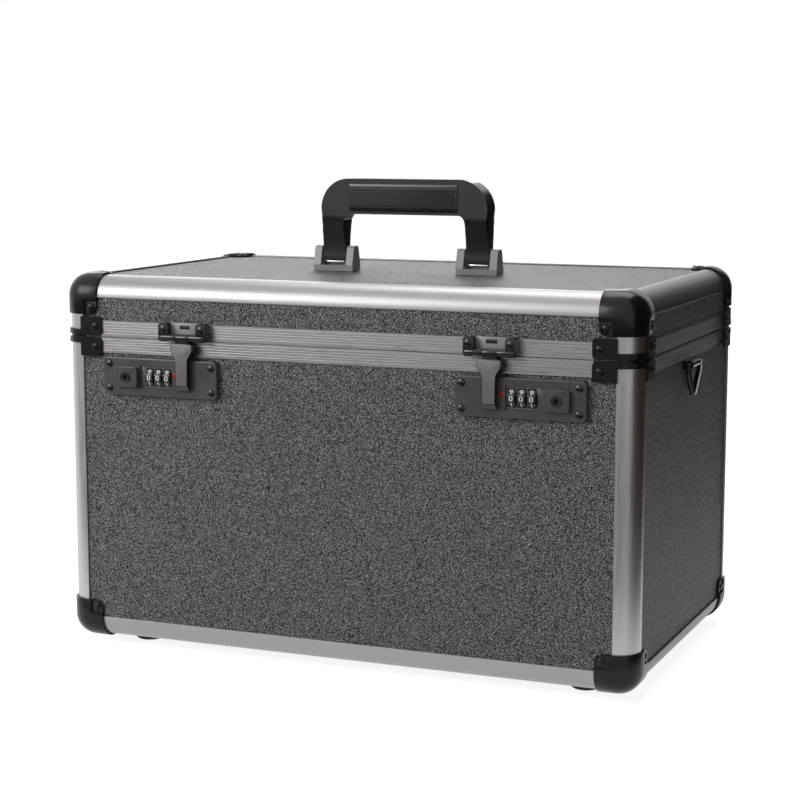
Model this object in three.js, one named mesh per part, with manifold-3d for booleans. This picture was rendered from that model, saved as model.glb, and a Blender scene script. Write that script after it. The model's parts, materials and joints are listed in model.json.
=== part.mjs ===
// A lockable carry case for medicines, in millimetres, +Z up, front towards -Y.
// The origin is on the surface it stands on, in the middle of its outline.
import * as THREE from "three";
import { RoundedBoxGeometry } from "three/addons/geometries/RoundedBoxGeometry.js";
import { mergeVertices } from "three/addons/utils/BufferGeometryUtils.js";
import Module from "manifold-3d";

const wasm = await Module();
wasm.setup();

// Driving sizes of the case
const caseWidth = 470;
const caseDepth = 284;
const bodyHeight = 243;
const lidHeight = 47.5;
const seamGap = 0.8;
const clearance = 0.3;

// Feet
const footHeight = 8;
const footRadius = 12;
const footInsetX = 49;
const footInsetY = 42;

// Edge rails: a quarter round with a slot on each side for the panels
const railRadius = 16.5;
const railReach = 17.2;
const railWall = 1.2;
const railSlotDepth = 4.5;
const railEndInset = 17.4;
const tieStart = 16.2;
const tieWidth = 0.8;
const tieLength = 2.2;
const tieDepth = 0.3;
const tieThickness = 0.6;
const roundSteps = 6;
const capSteps = 4;

// Panels and linings
const panelThickness = 4;
const liningThickness = 3;

// Closure rims: ribbed strips on both sides of the seam
const rimHeight = 12.2;
const rimDepth = 9.5;
const rimSlotDepth = 5.2;
const ribGrooves = 5;
const grooveWidth = 0.9;
const grooveDepth = 0.5;
const tongueHeight = 2.2;
const tongueBase = 2.2;
const tongueTip = 1;
const tongueInset = 3.8;
const tonguePlay = 0.6;

// Corner caps and rim corner brackets
const capReach = 30.3;
const capWall = 1.5;
const capClearance = 0.5;
const capTabThickness = 1.8;
const capTabStart = 20;
const capTabRound = 6;
const rimCornerReach = 34.5;
const rimCornerHeight = 15.2;
const rimCornerWindow = 16.1;
const rimCornerBand = 5;
const rimCornerRound = 2.5;
const rimCornerSetback = 0.9;

// Locks: the plate outside the front panel and the box behind it
const lockWidth = 100;
const lockHeight = 29.8;
const lockDrop = 30;
const lockEndInset = 87.4;
const lockProud = 3.5;
const lockRound = 4;
const lockBevel = 1;
const lockBoxLeft = -21.2;
const lockBoxRight = 34.8;
const lockBoxHeight = 25;
const lockWall = 1;
const lockRecessLeft = -11.1;
const lockRecessRight = 17.2;
const lockRecessHeight = 17.5;
const lockRecessDepth = 1.5;
const windowWall = 0.8;
const dialRadius = 8.3;
const dialWidth = 6;
const dialPitch = 7.7;
const dialCentreX = 1.2;
const dialChord = 13.5;
const dialFacets = 10;
const dialRidge = 0.35;
const dialCount = 3;
const axleRadius = 1.5;
const keyBlockWidth = 20;
const keyBlockHeight = 16;
const keyBlockProud = 3.5;
const keyBlockRound = 2.5;
const keyCentreX = 28.3;
const plugFaceRadius = 4.2;
const plugBodyRadius = 5.2;
const plugProud = 0.4;
const plugStep = 1.6;
const keySlotHeight = 4.6;
const keySlotWidth = 1.2;
const keySlotDepth = 3.5;
const keyHoleRadius = 1.4;

// Latch bolt inside each lock, driven by the crank pin on the key plug
const boltTravel = 4;
const boltHeight = 2.2;
const boltThickness = 2;
const boltFront = -0.7;
const noseHeight = 3;
const noseThickness = 1;
const noseGap = 0.6;
const riserWidth = 2;
const riserSetback = 5;
const crankPinRadius = 1;
const crankPlay = 1;
const forkWall = 1.4;

// Keepers on the lid rim, and the hasps that turn on them
const keeperWidth = 40.4;
const keeperHeight = 13;
const keeperOffset = 22.2;
const keeperFace = 2.1;
const keeperEndWidth = 8;
const keeperEndFace = 7.8;
const keeperBevel = 0.8;
const keeperSlotWidth = 9;
const keeperSlotHeight = 3;
const keeperSlotLift = 6.4;
const barrelRadius = 2.9;
const barrelLift = 2.4;
const barrelOut = 5.4;
const pinRadius = 1.2;
const knuckleWidth = 11;
const haspWingWidth = 19;
const haspBladeWidth = 10.6;
const haspThickness = 4.2;
const haspBack = 4.8;
const haspEdge = 0.5;
const haspTop = 4.4;
const haspShoulder = 11.5;
const haspNeck = 15.2;
const haspLength = 40.6;
const haspTipHeight = 3.6;
const stapleThickness = 2.4;
const stapleHeight = 7;
const stapleHole = 3.8;
const stapleLength = 4.3;
const stapleTip = 1;
const staplePlay = 0.8;

// Carry handle and its brackets
const handleWidth = 144;
const handleHeight = 74;
const handlePivotLift = 6.3;
const handleDepth = 18;
const handleLegWidth = 19.4;
const handleLegDepth = 9;
const handleLegStraight = 8;
const handleFlareHeight = 38;
const handleGripHeight = 28;
const handleOuterRound = 24;
const handleInnerRound = 7;
const handleEdge = 3;
const handleLegGap = 4;
const handleEyeRadius = 3;
const handleEyeWidth = 16;
const gripWidth = 93;
const gripDepth = 21;
const gripRound = 6;
const gripDrop = 0.8;
const bracketCheek = 6.8;
const bracketPlay = 1.1;
const bracketDepth = 16;
const bracketTopDepth = 10;
const bracketHeight = 19.3;
const bracketBase = 0.2;
const bracketSill = 3.6;
const bracketSillWidth = 1;
const handlePinRadius = 1.9;

// Strap rings on the two sides
const strapDrop = 16.4;
const strapPlateWidth = 34;
const strapPlateHeight = 7;
const strapPlateFace = 0.4;
const strapBarrelRadius = 2.9;
const strapBarrelWidth = 22;
const ringWire = 3.2;
const ringWidth = 40;
const ringHeight = 26;
const ringShoulder = 7;
const ringTipWidth = 10;
const ringEdge = 0.8;

// Hinges on the back
const hingeWidth = 50;
const hingeEndInset = 85;
const hingeLeafThickness = 1.5;
const hingeLeafHeight = 11;
const hingeBarrelRadius = 3.2;
const hingeAxisOut = 4.3;
const hingePinRadius = 1.3;
const hingeKnuckle = 16;

// Sizes that follow from the ones above
const halfWidth = caseWidth / 2;
const halfDepth = caseDepth / 2;
const lockCentreX = halfWidth - lockEndInset;
const hingeOffset = halfWidth - hingeEndInset;
const baseZ = footHeight;
const seamZ = baseZ + bodyHeight;
const topZ = seamZ + lidHeight;
const slotWidth = panelThickness + 2 * clearance;
const panelInset = railWall + clearance;
const lipDepth = railWall + slotWidth + railWall;
const railSlotFloor = railReach - railSlotDepth;
const panelEdge = railSlotFloor + clearance;
const liningInset = lipDepth + clearance;
const liningInner = liningInset + liningThickness;
const rimSlotFloor = rimHeight - rimSlotDepth;
const rimStripEnd = railReach + clearance;
const lockZ = seamZ - lockDrop;
const keeperX = lockCentreX - keeperOffset;
const lockBack = panelInset - clearance;
const recessFloor = lockRecessDepth - lockProud;
const dialAxisY = Math.sqrt(dialRadius ** 2 - (dialChord / 2) ** 2) + recessFloor;
const lockBoxBack = dialAxisY + dialRadius + clearance + lockWall;
const boltZ = -(dialRadius + 2 * clearance + boltHeight / 2);
const barrelZ = seamZ + barrelLift;
const handlePivotX = handleWidth / 2 - handleLegWidth / 2;
const bracketHalf = handleLegWidth / 2 + bracketPlay + bracketCheek;
const handlePivotZ = topZ + handlePivotLift;
const hingeReach = hingeAxisOut + hingeBarrelRadius;
const haspReach = haspBack + haspThickness;
const strapZ = seamZ - strapDrop;
const shiftY = (haspReach - hingeReach) / 2;

const finishes = {
  panel: { color: 0x38383b, roughness: 0.75, metalness: 0 },
  rail: { color: 0x8f8d90, roughness: 0.35, metalness: 0.9 },
  rim: { color: 0xb4b1b4, roughness: 0.3, metalness: 0.9 },
  black: { color: 0x161618, roughness: 0.4, metalness: 0 },
  lock: { color: 0x3b3a3e, roughness: 0.45, metalness: 0.4 },
  hasp: { color: 0x5c5a60, roughness: 0.45, metalness: 0.5 },
  dial: { color: 0x0c0c0e, roughness: 0.35, metalness: 0 },
  steel: { color: 0xc4c4c8, roughness: 0.25, metalness: 1 },
  rubber: { color: 0x141414, roughness: 0.8, metalness: 0 },
  lining: { color: 0x232326, roughness: 0.95, metalness: 0 },
};

// A three.js geometry as a solid that can be joined and cut
function solid(geometry) {
  const bare = geometry.index ? geometry.toNonIndexed() : geometry.clone();
  bare.deleteAttribute("normal");
  bare.deleteAttribute("uv");
  const merged = mergeVertices(bare, 1e-4);
  return new wasm.Manifold(
    new wasm.Mesh({
      numProp: 3,
      vertProperties: merged.attributes.position.array,
      triVerts: new Uint32Array(merged.index.array),
    }),
  );
}

function geometryOf(shape) {
  const mesh = shape.getMesh();
  const geometry = new THREE.BufferGeometry();
  geometry.setAttribute("position", new THREE.BufferAttribute(mesh.vertProperties, 3));
  geometry.setIndex(new THREE.BufferAttribute(mesh.triVerts, 1));
  geometry.computeVertexNormals();
  return geometry;
}

function join(parts) {
  return parts.reduce((all, part) => all.add(part));
}

function cut(body, tools) {
  return tools.reduce((left, tool) => left.subtract(tool), body);
}

function box(x0, x1, y0, y1, z0, z1) {
  const geometry = new THREE.BoxGeometry(x1 - x0, y1 - y0, z1 - z0);
  return solid(geometry.translate((x0 + x1) / 2, (y0 + y1) / 2, (z0 + z1) / 2));
}

// Points of a circular arc, ends included
function arc(cx, cy, radius, fromDegrees, toDegrees, steps = roundSteps) {
  return Array.from({ length: steps + 1 }, (_, i) => {
    const angle = THREE.MathUtils.degToRad(fromDegrees + ((toDegrees - fromDegrees) * i) / steps);
    return [cx + radius * Math.cos(angle), cy + radius * Math.sin(angle)];
  });
}

function outline(points) {
  return new THREE.Shape(points.map(([x, y]) => new THREE.Vector2(x, y)));
}

function roundedRectangle(x0, x1, y0, y1, radius, steps = roundSteps) {
  return [
    ...arc(x0 + radius, y0 + radius, radius, 180, 270, steps),
    ...arc(x1 - radius, y0 + radius, radius, 270, 360, steps),
    ...arc(x1 - radius, y1 - radius, radius, 0, 90, steps),
    ...arc(x0 + radius, y1 - radius, radius, 90, 180, steps),
  ];
}

function extrude(points, length, bevel = 0) {
  const options = { depth: length - 2 * bevel, bevelEnabled: bevel > 0 };
  if (bevel > 0)
    Object.assign(options, { bevelSize: bevel, bevelThickness: bevel, bevelOffset: -bevel, bevelSegments: 2 });
  return new THREE.ExtrudeGeometry(outline(points), options).translate(0, 0, bevel);
}

// Outlines in (y, z), (x, z) and (x, y), drawn out along the third axis
function prismX(points, x0, x1, bevel = 0) {
  const turn = new THREE.Matrix4().set(0, 0, 1, x0, 1, 0, 0, 0, 0, 1, 0, 0, 0, 0, 0, 1);
  return solid(extrude(points, x1 - x0, bevel).applyMatrix4(turn));
}

function prismY(points, y0, y1, bevel = 0) {
  const turn = new THREE.Matrix4().set(1, 0, 0, 0, 0, 0, -1, y1, 0, 1, 0, 0, 0, 0, 0, 1);
  return solid(extrude(points, y1 - y0, bevel).applyMatrix4(turn));
}

function prismZ(points, z0, z1, bevel = 0) {
  return solid(extrude(points, z1 - z0, bevel).translate(0, 0, z0));
}

function rodX(x0, x1, y, z, radius, sides = 16) {
  const geometry = new THREE.CylinderGeometry(radius, radius, x1 - x0, sides).rotateZ(Math.PI / 2);
  return solid(geometry.translate((x0 + x1) / 2, y, z));
}

function rodY(y0, y1, x, z, radius, sides = 24) {
  const geometry = new THREE.CylinderGeometry(radius, radius, y1 - y0, sides);
  return solid(geometry.translate(x, (y0 + y1) / 2, z));
}

function rodZ(z0, z1, x, y, radius, sides = 24) {
  const geometry = new THREE.CylinderGeometry(radius, radius, z1 - z0, sides).rotateX(Math.PI / 2);
  return solid(geometry.translate(x, y, (z0 + z1) / 2));
}

const part = new THREE.Group();
part.position.y = shiftY;

// Adds one named piece at a place; a side of -1 mirrors it along that axis
function place(name, shape, finish, at = [0, 0, 0], sides = [1, 1, 1]) {
  const geometry = shape.isBufferGeometry ? shape : geometryOf(shape);
  const mesh = new THREE.Mesh(geometry, new THREE.MeshStandardMaterial(finishes[finish]));
  mesh.name = name;
  mesh.position.set(...at);
  mesh.scale.set(...sides);
  part.add(mesh);
}

const leftRight = { left: -1, right: 1 };
const frontRear = { front: -1, rear: 1 };

// Section of an edge rail, as depths from its two outer faces
function railSection() {
  const innerRadius = railRadius - railWall;
  const web = railSlotFloor - railWall;
  const webAngle = THREE.MathUtils.radToDeg(Math.asin((railRadius - web) / innerRadius));
  const half = (swap) => {
    const points = [
      [railWall, railReach],
      [railWall, railSlotFloor],
      [railWall + slotWidth, railSlotFloor],
      [railWall + slotWidth, railReach],
      [lipDepth, railReach],
      [lipDepth, web],
    ];
    return swap ? points.reverse().map(([u, v]) => [v, u]) : points;
  };
  return [
    [railReach, 0],
    ...arc(railRadius, railRadius, railRadius, 270, 180),
    [0, railReach],
    ...half(false),
    ...arc(railRadius, railRadius, innerRadius, 180 + webAngle, 270 - webAngle),
    ...half(true),
  ];
}

// Section of a plain corner sheath without slots
function sheathSection() {
  return [
    [railReach, 0],
    ...arc(railRadius, railRadius, railRadius, 270, 180),
    [0, railReach],
    [railWall, railReach],
    ...arc(railRadius, railRadius, railRadius - railWall, 180, 270),
    [railReach, railWall],
  ];
}

// Turns depths from two faces into coordinates; a side of 1 is the face on the plus side
function fromFaces(points, faceU, sideU, faceV, sideV) {
  return points.map(([u, v]) => [faceU - sideU * u, faceV - sideV * v]);
}

function horizontalRails(faceZ, sideZ) {
  const endX = halfWidth - railEndInset;
  const endY = halfDepth - railEndInset;
  return [-1, 1].flatMap((side) => [
    prismX(fromFaces(railSection(), side * halfDepth, side, faceZ, sideZ), -endX, endX),
    prismY(fromFaces(railSection(), side * halfWidth, side, faceZ, sideZ), -endY, endY),
  ]);
}

function uprightRails(section, z0, z1) {
  return [-1, 1].flatMap((sideX) =>
    [-1, 1].map((sideY) =>
      prismZ(fromFaces(section, sideX * halfWidth, sideX, sideY * halfDepth, sideY), z0, z1),
    ),
  );
}

// Small angle pieces inside the walls join the three rails that meet at a corner
function cornerTies(faceZ, sideZ) {
  const wide = [tieStart, tieStart + tieWidth];
  const long = [tieStart, tieStart + tieLength];
  const thin = [tieDepth, tieDepth + tieThickness];
  const pieces = [0, 1, 2].flatMap((axis) => [
    faceBox(axis, wide, long, thin),
    faceBox(axis, long, wide, thin),
  ]);
  const tie = join(pieces);
  return [-1, 1].flatMap((sideX) =>
    [-1, 1].map((sideY) =>
      tie.scale([-sideX, -sideY, -sideZ]).translate([sideX * halfWidth, sideY * halfDepth, faceZ]),
    ),
  );
}

const bodyTopZ = seamZ - seamGap / 2;
const lidBottomZ = seamZ + seamGap / 2;

function bodyEdgeFrame() {
  const uprights = uprightRails(railSection(), baseZ + railEndInset, bodyTopZ);
  return join([...horizontalRails(baseZ, -1), ...uprights, ...cornerTies(baseZ, -1)]);
}

function lidEdgeFrame() {
  const sheaths = uprightRails(sheathSection(), lidBottomZ, topZ - railEndInset);
  return join([...horizontalRails(topZ, 1), ...sheaths, ...cornerTies(topZ, 1)]);
}

// A standing band that follows the outline of the case at some depth
function band(inset, innerInset, z0, z1) {
  const ring = (depth, low, high) => {
    const points = roundedRectangle(
      depth - halfWidth,
      halfWidth - depth,
      depth - halfDepth,
      halfDepth - depth,
      railRadius - depth,
    );
    return prismZ(points, low, high);
  };
  return ring(inset, z0, z1).subtract(ring(innerInset, z0 - 1, z1 + 1));
}

// Section of a closure rim, as depth from its outer face and distance from the seam
function rimSection(hasTongue) {
  const pitch = rimHeight / (ribGrooves + 1);
  const grooves = Array.from({ length: ribGrooves }, (_, i) => {
    const middle = (i + 1) * pitch;
    return [
      [0, middle - grooveWidth / 2],
      [grooveDepth, middle],
      [0, middle + grooveWidth / 2],
    ];
  });
  const play = hasTongue ? 0 : tonguePlay;
  const reach = hasTongue ? -tongueHeight : tongueHeight + tonguePlay;
  const tip = hasTongue ? tongueTip : tongueBase + 2 * tonguePlay;
  return [
    [0, 0],
    ...grooves.flat(),
    [0, rimHeight],
    [railWall, rimHeight],
    [railWall, rimSlotFloor],
    [railWall + slotWidth, rimSlotFloor],
    [railWall + slotWidth, rimHeight],
    [rimDepth, rimHeight],
    [rimDepth, 0],
    [tongueInset + tongueBase / 2 + play, 0],
    [tongueInset + tip / 2, reach],
    [tongueInset - tip / 2, reach],
    [tongueInset - tongueBase / 2 - play, 0],
  ];
}

function rimFrame(faceZ, sideZ, hasTongue) {
  const endX = halfWidth - rimStripEnd;
  const endY = halfDepth - rimStripEnd;
  const section = rimSection(hasTongue);
  const strips = [-1, 1].flatMap((side) => [
    prismX(fromFaces(section, side * halfDepth, side, faceZ, sideZ), -endX, endX),
    prismY(fromFaces(section, side * halfWidth, side, faceZ, sideZ), -endY, endY),
  ]);
  const farZ = faceZ - sideZ * rimHeight;
  const inner = band(liningInset, rimDepth, Math.min(faceZ, farZ), Math.max(faceZ, farZ));
  return join([inner, ...strips]);
}

// Space for the box behind each lock, through the front panel and the lining
function lockOpenings() {
  return [-1, 1].map((side) => {
    const ends = [lockBoxLeft - clearance, lockBoxRight + clearance].map((x) => side * (lockCentreX + x));
    const half = lockBoxHeight / 2 + clearance;
    const y1 = liningInner - halfDepth + 1;
    return box(Math.min(...ends), Math.max(...ends), -halfDepth - 1, y1, lockZ - half, lockZ + half);
  });
}

function placePanels() {
  const x = halfWidth - panelEdge;
  const y = halfDepth - panelEdge;
  const z0 = baseZ + panelEdge;
  const z1 = bodyTopZ - rimSlotFloor - clearance;
  const outer = panelInset;
  const inner = panelInset + panelThickness;
  const front = box(-x, x, outer - halfDepth, inner - halfDepth, z0, z1);
  place("body_front_panel", cut(front, lockOpenings()), "panel");
  place("body_rear_panel", box(-x, x, halfDepth - inner, halfDepth - outer, z0, z1), "panel");
  place("body_left_panel", box(outer - halfWidth, inner - halfWidth, -y, y, z0, z1), "panel");
  place("body_right_panel", box(halfWidth - inner, halfWidth - outer, -y, y, z0, z1), "panel");
  place("body_bottom_panel", box(-x, x, -y, y, baseZ + outer, baseZ + inner), "panel");
  place("lid_top_panel", box(-x, x, -y, y, topZ - inner, topZ - outer), "panel");
  const bandBottom = lidBottomZ + rimSlotFloor + clearance;
  place("lid_wall_band", band(outer, inner, bandBottom, topZ - panelEdge), "panel");
}

// A lining is a shallow or deep tray with one open side
function lining(floorZ, openZ) {
  const tray = (inset, z0, z1) => {
    const points = roundedRectangle(
      inset - halfWidth,
      halfWidth - inset,
      inset - halfDepth,
      halfDepth - inset,
      railRadius - inset,
    );
    return prismZ(points, Math.min(z0, z1), Math.max(z0, z1));
  };
  const up = Math.sign(openZ - floorZ);
  return tray(liningInset, floorZ, openZ).subtract(tray(liningInner, floorZ + up * liningThickness, openZ + up));
}

function placeLinings() {
  const bodyOpen = bodyTopZ - rimHeight - clearance;
  const lidOpen = lidBottomZ + rimHeight + clearance;
  place("body_lining", cut(lining(baseZ + liningInset, bodyOpen), lockOpenings()), "lining");
  place("lid_lining", lining(topZ - liningInset, lidOpen), "lining");
}

// A block with a rounded corner whose tip is at -lift, as depths from three faces
function roundedCorner(radius, lift, reach) {
  const side = 2 * (reach + radius);
  const middle = side / 2 - lift;
  const block = new RoundedBoxGeometry(side, side, side, capSteps, radius).translate(middle, middle, middle);
  return solid(block).intersect(box(-lift - 1, reach, -lift - 1, reach, -lift - 1, reach));
}

// A box given as depths, with its thin side along one of the three axes
function faceBox(axis, along, across, depth) {
  const ranges = [along, across];
  ranges.splice(axis, 0, depth);
  return box(...ranges.flat());
}

// Rounds the free corner of a face of the cap
function freeCornerTool(axis) {
  const start = capReach - capTabRound;
  const far = capReach + 1;
  const block = faceBox(axis, [start, far], [start, far], [-far, start - 1]);
  const rods = [rodX, rodY, rodZ];
  return block.subtract(rods[axis](-far, start - 1, start, start, capTabRound));
}

function cornerCap() {
  const lift = clearance + capWall;
  const shell = roundedCorner(railRadius + lift, lift, capReach).subtract(
    roundedCorner(railRadius + capClearance, capClearance, capReach + 1),
  );
  const tabBottom = panelInset - clearance;
  const tabTop = tabBottom - capTabThickness;
  const first = railReach + clearance;
  const tabs = [0, 1, 2].map((axis) => faceBox(axis, [first, capReach], [first, capReach], [tabTop, tabBottom]));
  const steps = [0, 1, 2].map((axis) =>
    faceBox(axis, [capTabStart, capReach + 1], [capTabStart, capReach + 1], [-lift - 1, tabTop]),
  );
  return cut(join([shell, ...tabs]), [...steps, ...[0, 1, 2].map(freeCornerTool)]);
}

function placeCornerCaps() {
  const cap = geometryOf(cornerCap());
  for (const [frontName, sideY] of Object.entries(frontRear))
    for (const [leftName, sideX] of Object.entries(leftRight)) {
      const at = [sideX * halfWidth, sideY * halfDepth];
      place(`body_corner_${frontName}_${leftName}`, cap, "black", [...at, baseZ], [-sideX, -sideY, 1]);
      place(`lid_corner_${frontName}_${leftName}`, cap, "black", [...at, topZ], [-sideX, -sideY, -1]);
    }
}

// Bracket round a corner of the rim: two plates joined by a narrow band beside the seam
function rimCorner() {
  const layer = (lift) => [
    [rimCornerReach, -lift],
    ...arc(railRadius, railRadius, railRadius + lift, 270, 180),
    [-lift, rimCornerReach],
  ];
  const inside = layer(clearance).reverse();
  const wrap = prismZ([...layer(clearance + capWall), ...inside], rimCornerSetback, rimCornerHeight);
  const far = rimCornerHeight + 1;
  const window = box(-far, rimCornerWindow, -far, rimCornerWindow, rimCornerBand, far);
  const start = rimCornerReach - rimCornerRound;
  const roundOff = (turned, z0, z1, middle) => {
    const range = [start, rimCornerReach + 1];
    const block = turned ? box(-5, 5, ...range, z0, z1) : box(...range, -5, 5, z0, z1);
    const rod = turned ? rodX : rodY;
    return block.subtract(rod(-5, 5, start, middle, rimCornerRound));
  };
  const low = rimCornerSetback + rimCornerRound;
  const high = rimCornerHeight - rimCornerRound;
  const rounds = [false, true].flatMap((turned) => [roundOff(turned, high, far, high), roundOff(turned, -1, low, low)]);
  return cut(wrap, [window, ...rounds]);
}

function placeRimCorners() {
  const bracket = geometryOf(rimCorner());
  for (const [frontName, sideY] of Object.entries(frontRear))
    for (const [leftName, sideX] of Object.entries(leftRight)) {
      const at = [sideX * halfWidth, sideY * halfDepth];
      place(`body_rim_corner_${frontName}_${leftName}`, bracket, "black", [...at, bodyTopZ], [-sideX, -sideY, -1]);
      place(`lid_rim_corner_${frontName}_${leftName}`, bracket, "black", [...at, lidBottomZ], [-sideX, -sideY, 1]);
    }
}

function placeFeet() {
  const top = baseZ + panelInset - clearance;
  const profile = [
    [0, 0],
    [footRadius - 2, 0],
    [footRadius - 0.6, 1],
    [footRadius, 3],
    [footRadius, top],
    [0, top],
  ].map(([r, z]) => new THREE.Vector2(r, z));
  const foot = geometryOf(solid(new THREE.LatheGeometry(profile, 24).rotateX(Math.PI / 2)));
  for (const [frontName, sideY] of Object.entries(frontRear))
    for (const [leftName, sideX] of Object.entries(leftRight)) {
      const at = [sideX * (halfWidth - footInsetX), sideY * (halfDepth - footInsetY), 0];
      place(`foot_${frontName}_${leftName}`, foot, "rubber", at);
    }
}

function dialX(index) {
  return dialCentreX + (index - (dialCount - 1) / 2) * dialPitch;
}

const dials = Array.from({ length: dialCount }, (_, i) => i);
const dialHalf = dialWidth / 2 + clearance;

// Where the dials, the bolt and the staple move inside the lock case
function lockCavities() {
  const windowBack = recessFloor + windowWall;
  const windowHalf = Math.sqrt(dialRadius ** 2 - (dialAxisY - windowBack) ** 2) + clearance;
  const windows = dials.map((i) =>
    box(dialX(i) - dialHalf, dialX(i) + dialHalf, -lockProud, dialAxisY, -windowHalf, windowHalf),
  );
  const half = dialRadius + clearance;
  const pocketBack = dialAxisY + half;
  const pocket = box(dialX(0) - dialHalf, dialX(dialCount - 1) + dialHalf, windowBack, pocketBack, -half, half);
  const recessHalf = lockRecessHeight / 2;
  const recess = box(lockRecessLeft, lockRecessRight, -lockProud - 1, recessFloor, -recessHalf, recessHalf);
  return [...windows, pocket, recess];
}

const stapleX = -keeperOffset;
const noseTip = stapleX + stapleThickness / 2 + noseGap;
const riserX = noseTip + riserSetback;
const noseBack = haspBack - stapleLength + stapleTip + clearance;
const noseFront = noseBack + noseThickness;
const boltBack = boltFront + boltThickness;
const forkFar = crankPinRadius + clearance;
const forkNear = forkFar + crankPlay;

function boltCavities() {
  const low = boltZ - boltHeight / 2 - clearance;
  const front = boltFront - clearance;
  const back = boltBack + clearance;
  const lockEnd = keyCentreX + forkFar + forkWall + clearance;
  const bar = box(riserX - boltTravel - clearance, lockEnd, front, back, low, boltZ + boltHeight / 2 + clearance);
  const riser = box(
    riserX - boltTravel - clearance,
    riserX + riserWidth + clearance,
    -noseFront - clearance,
    back,
    low,
    noseHeight / 2 + clearance,
  );
  const nose = box(
    noseTip - boltTravel - clearance,
    riserX,
    -noseFront - clearance,
    clearance - noseBack,
    -noseHeight / 2 - clearance,
    noseHeight / 2 + clearance,
  );
  const forkLeft = keyCentreX - forkNear - forkWall - boltTravel - clearance;
  const forkTop = crankPinRadius + forkWall + clearance;
  const fork = box(forkLeft, lockEnd, front, back, low, forkTop);
  const sweep = rodY(front, back, keyCentreX, 0, boltTravel + crankPinRadius + clearance);
  return [bar, riser, nose, fork, sweep];
}

function plugBore() {
  const face = lockProud + keyBlockProud;
  return [
    rodY(-face - 1, 0, keyCentreX, 0, plugFaceRadius + clearance),
    rodY(plugStep - face, boltFront, keyCentreX, 0, plugBodyRadius + clearance),
  ];
}

// Open at the top, so that the staple can leave outwards or upwards
function stapleChannel() {
  const half = stapleThickness / 2 + clearance + 0.2;
  const floor = -haspBack + stapleLength + clearance;
  return box(stapleX - half, stapleX + half, -lockProud - 1, floor, -stapleHeight / 2 - staplePlay, lockHeight);
}

function lockCase() {
  const halfW = lockWidth / 2;
  const halfH = lockHeight / 2;
  const plate = prismY(
    roundedRectangle(-halfW, halfW, -halfH, halfH, lockRound, 4),
    -lockProud,
    lockBack + lockBevel,
    lockBevel,
  ).intersect(box(-halfW, halfW, -lockProud, lockBack, -halfH, halfH));
  const half = lockBoxHeight / 2;
  const back = box(lockBoxLeft, lockBoxRight, lockBack - 1, lockBoxBack, -half, half);
  const face = lockProud + keyBlockProud;
  const block = prismY(
    roundedRectangle(
      keyCentreX - keyBlockWidth / 2,
      keyCentreX + keyBlockWidth / 2,
      -keyBlockHeight / 2,
      keyBlockHeight / 2,
      keyBlockRound,
      4,
    ),
    -face,
    -lockProud + lockBevel,
    lockBevel / 2,
  );
  const body = join([plate, back, block]);
  const cavities = [...lockCavities(), ...boltCavities(), ...plugBore(), stapleChannel()];
  const axle = rodX(dialX(0) - dialHalf - 0.5, dialX(dialCount - 1) + dialHalf + 0.5, dialAxisY, 0, axleRadius);
  return cut(body, cavities).add(axle);
}

// A number dial with one flat for each digit and a raised ridge between them
function dial() {
  const step = 360 / dialFacets;
  const ridgeHalf = 3;
  const points = Array.from({ length: dialFacets }, (_, i) => {
    const middle = (i + 0.5) * step;
    const ridge = arc(0, 0, dialRadius, middle - ridgeHalf, middle + ridgeHalf, 1);
    const flat = arc(0, 0, dialRadius - dialRidge, middle + ridgeHalf + 2, middle + step - ridgeHalf - 2, 1);
    return [...ridge, ...flat];
  });
  return prismX(points.flat(), -dialWidth / 2, dialWidth / 2).subtract(
    rodX(-dialWidth, dialWidth, 0, 0, axleRadius + clearance),
  );
}

// The key plug with its keyhole in front and its crank pin behind
function keyPlug() {
  const face = lockProud + keyBlockProud;
  const back = boltFront - clearance;
  const front = -face - plugProud;
  const body = join([
    rodY(front, back, 0, 0, plugFaceRadius),
    rodY(plugStep + clearance - face, back, 0, 0, plugBodyRadius),
    rodY(back - 1, boltBack, 0, -boltTravel, crankPinRadius, 12),
  ]);
  const slotHalf = keySlotHeight / 2;
  return cut(body, [
    box(-keySlotWidth / 2, keySlotWidth / 2, front - 1, front + keySlotDepth, -slotHalf, slotHalf),
    rodY(front - 1, front + keySlotDepth, 0, 0, keyHoleRadius, 12),
  ]);
}

// The bolt: a nose beside the staple, a bar under the dials and a fork round the crank pin
function latchBolt() {
  const low = boltZ - boltHeight / 2;
  const high = boltZ + boltHeight / 2;
  const forkTop = crankPinRadius + forkWall;
  const end = keyCentreX + forkFar + forkWall;
  const prong = (x0) => box(x0, x0 + forkWall, boltFront, boltBack, low, forkTop);
  return join([
    box(noseTip, riserX + riserWidth, -noseFront, -noseBack, -noseHeight / 2, noseHeight / 2),
    box(riserX, riserX + riserWidth, -noseFront, boltBack, low, noseHeight / 2),
    box(riserX, end, boltFront, boltBack, low, high),
    prong(keyCentreX + forkFar),
    prong(keyCentreX - forkNear - forkWall),
  ]);
}

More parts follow.
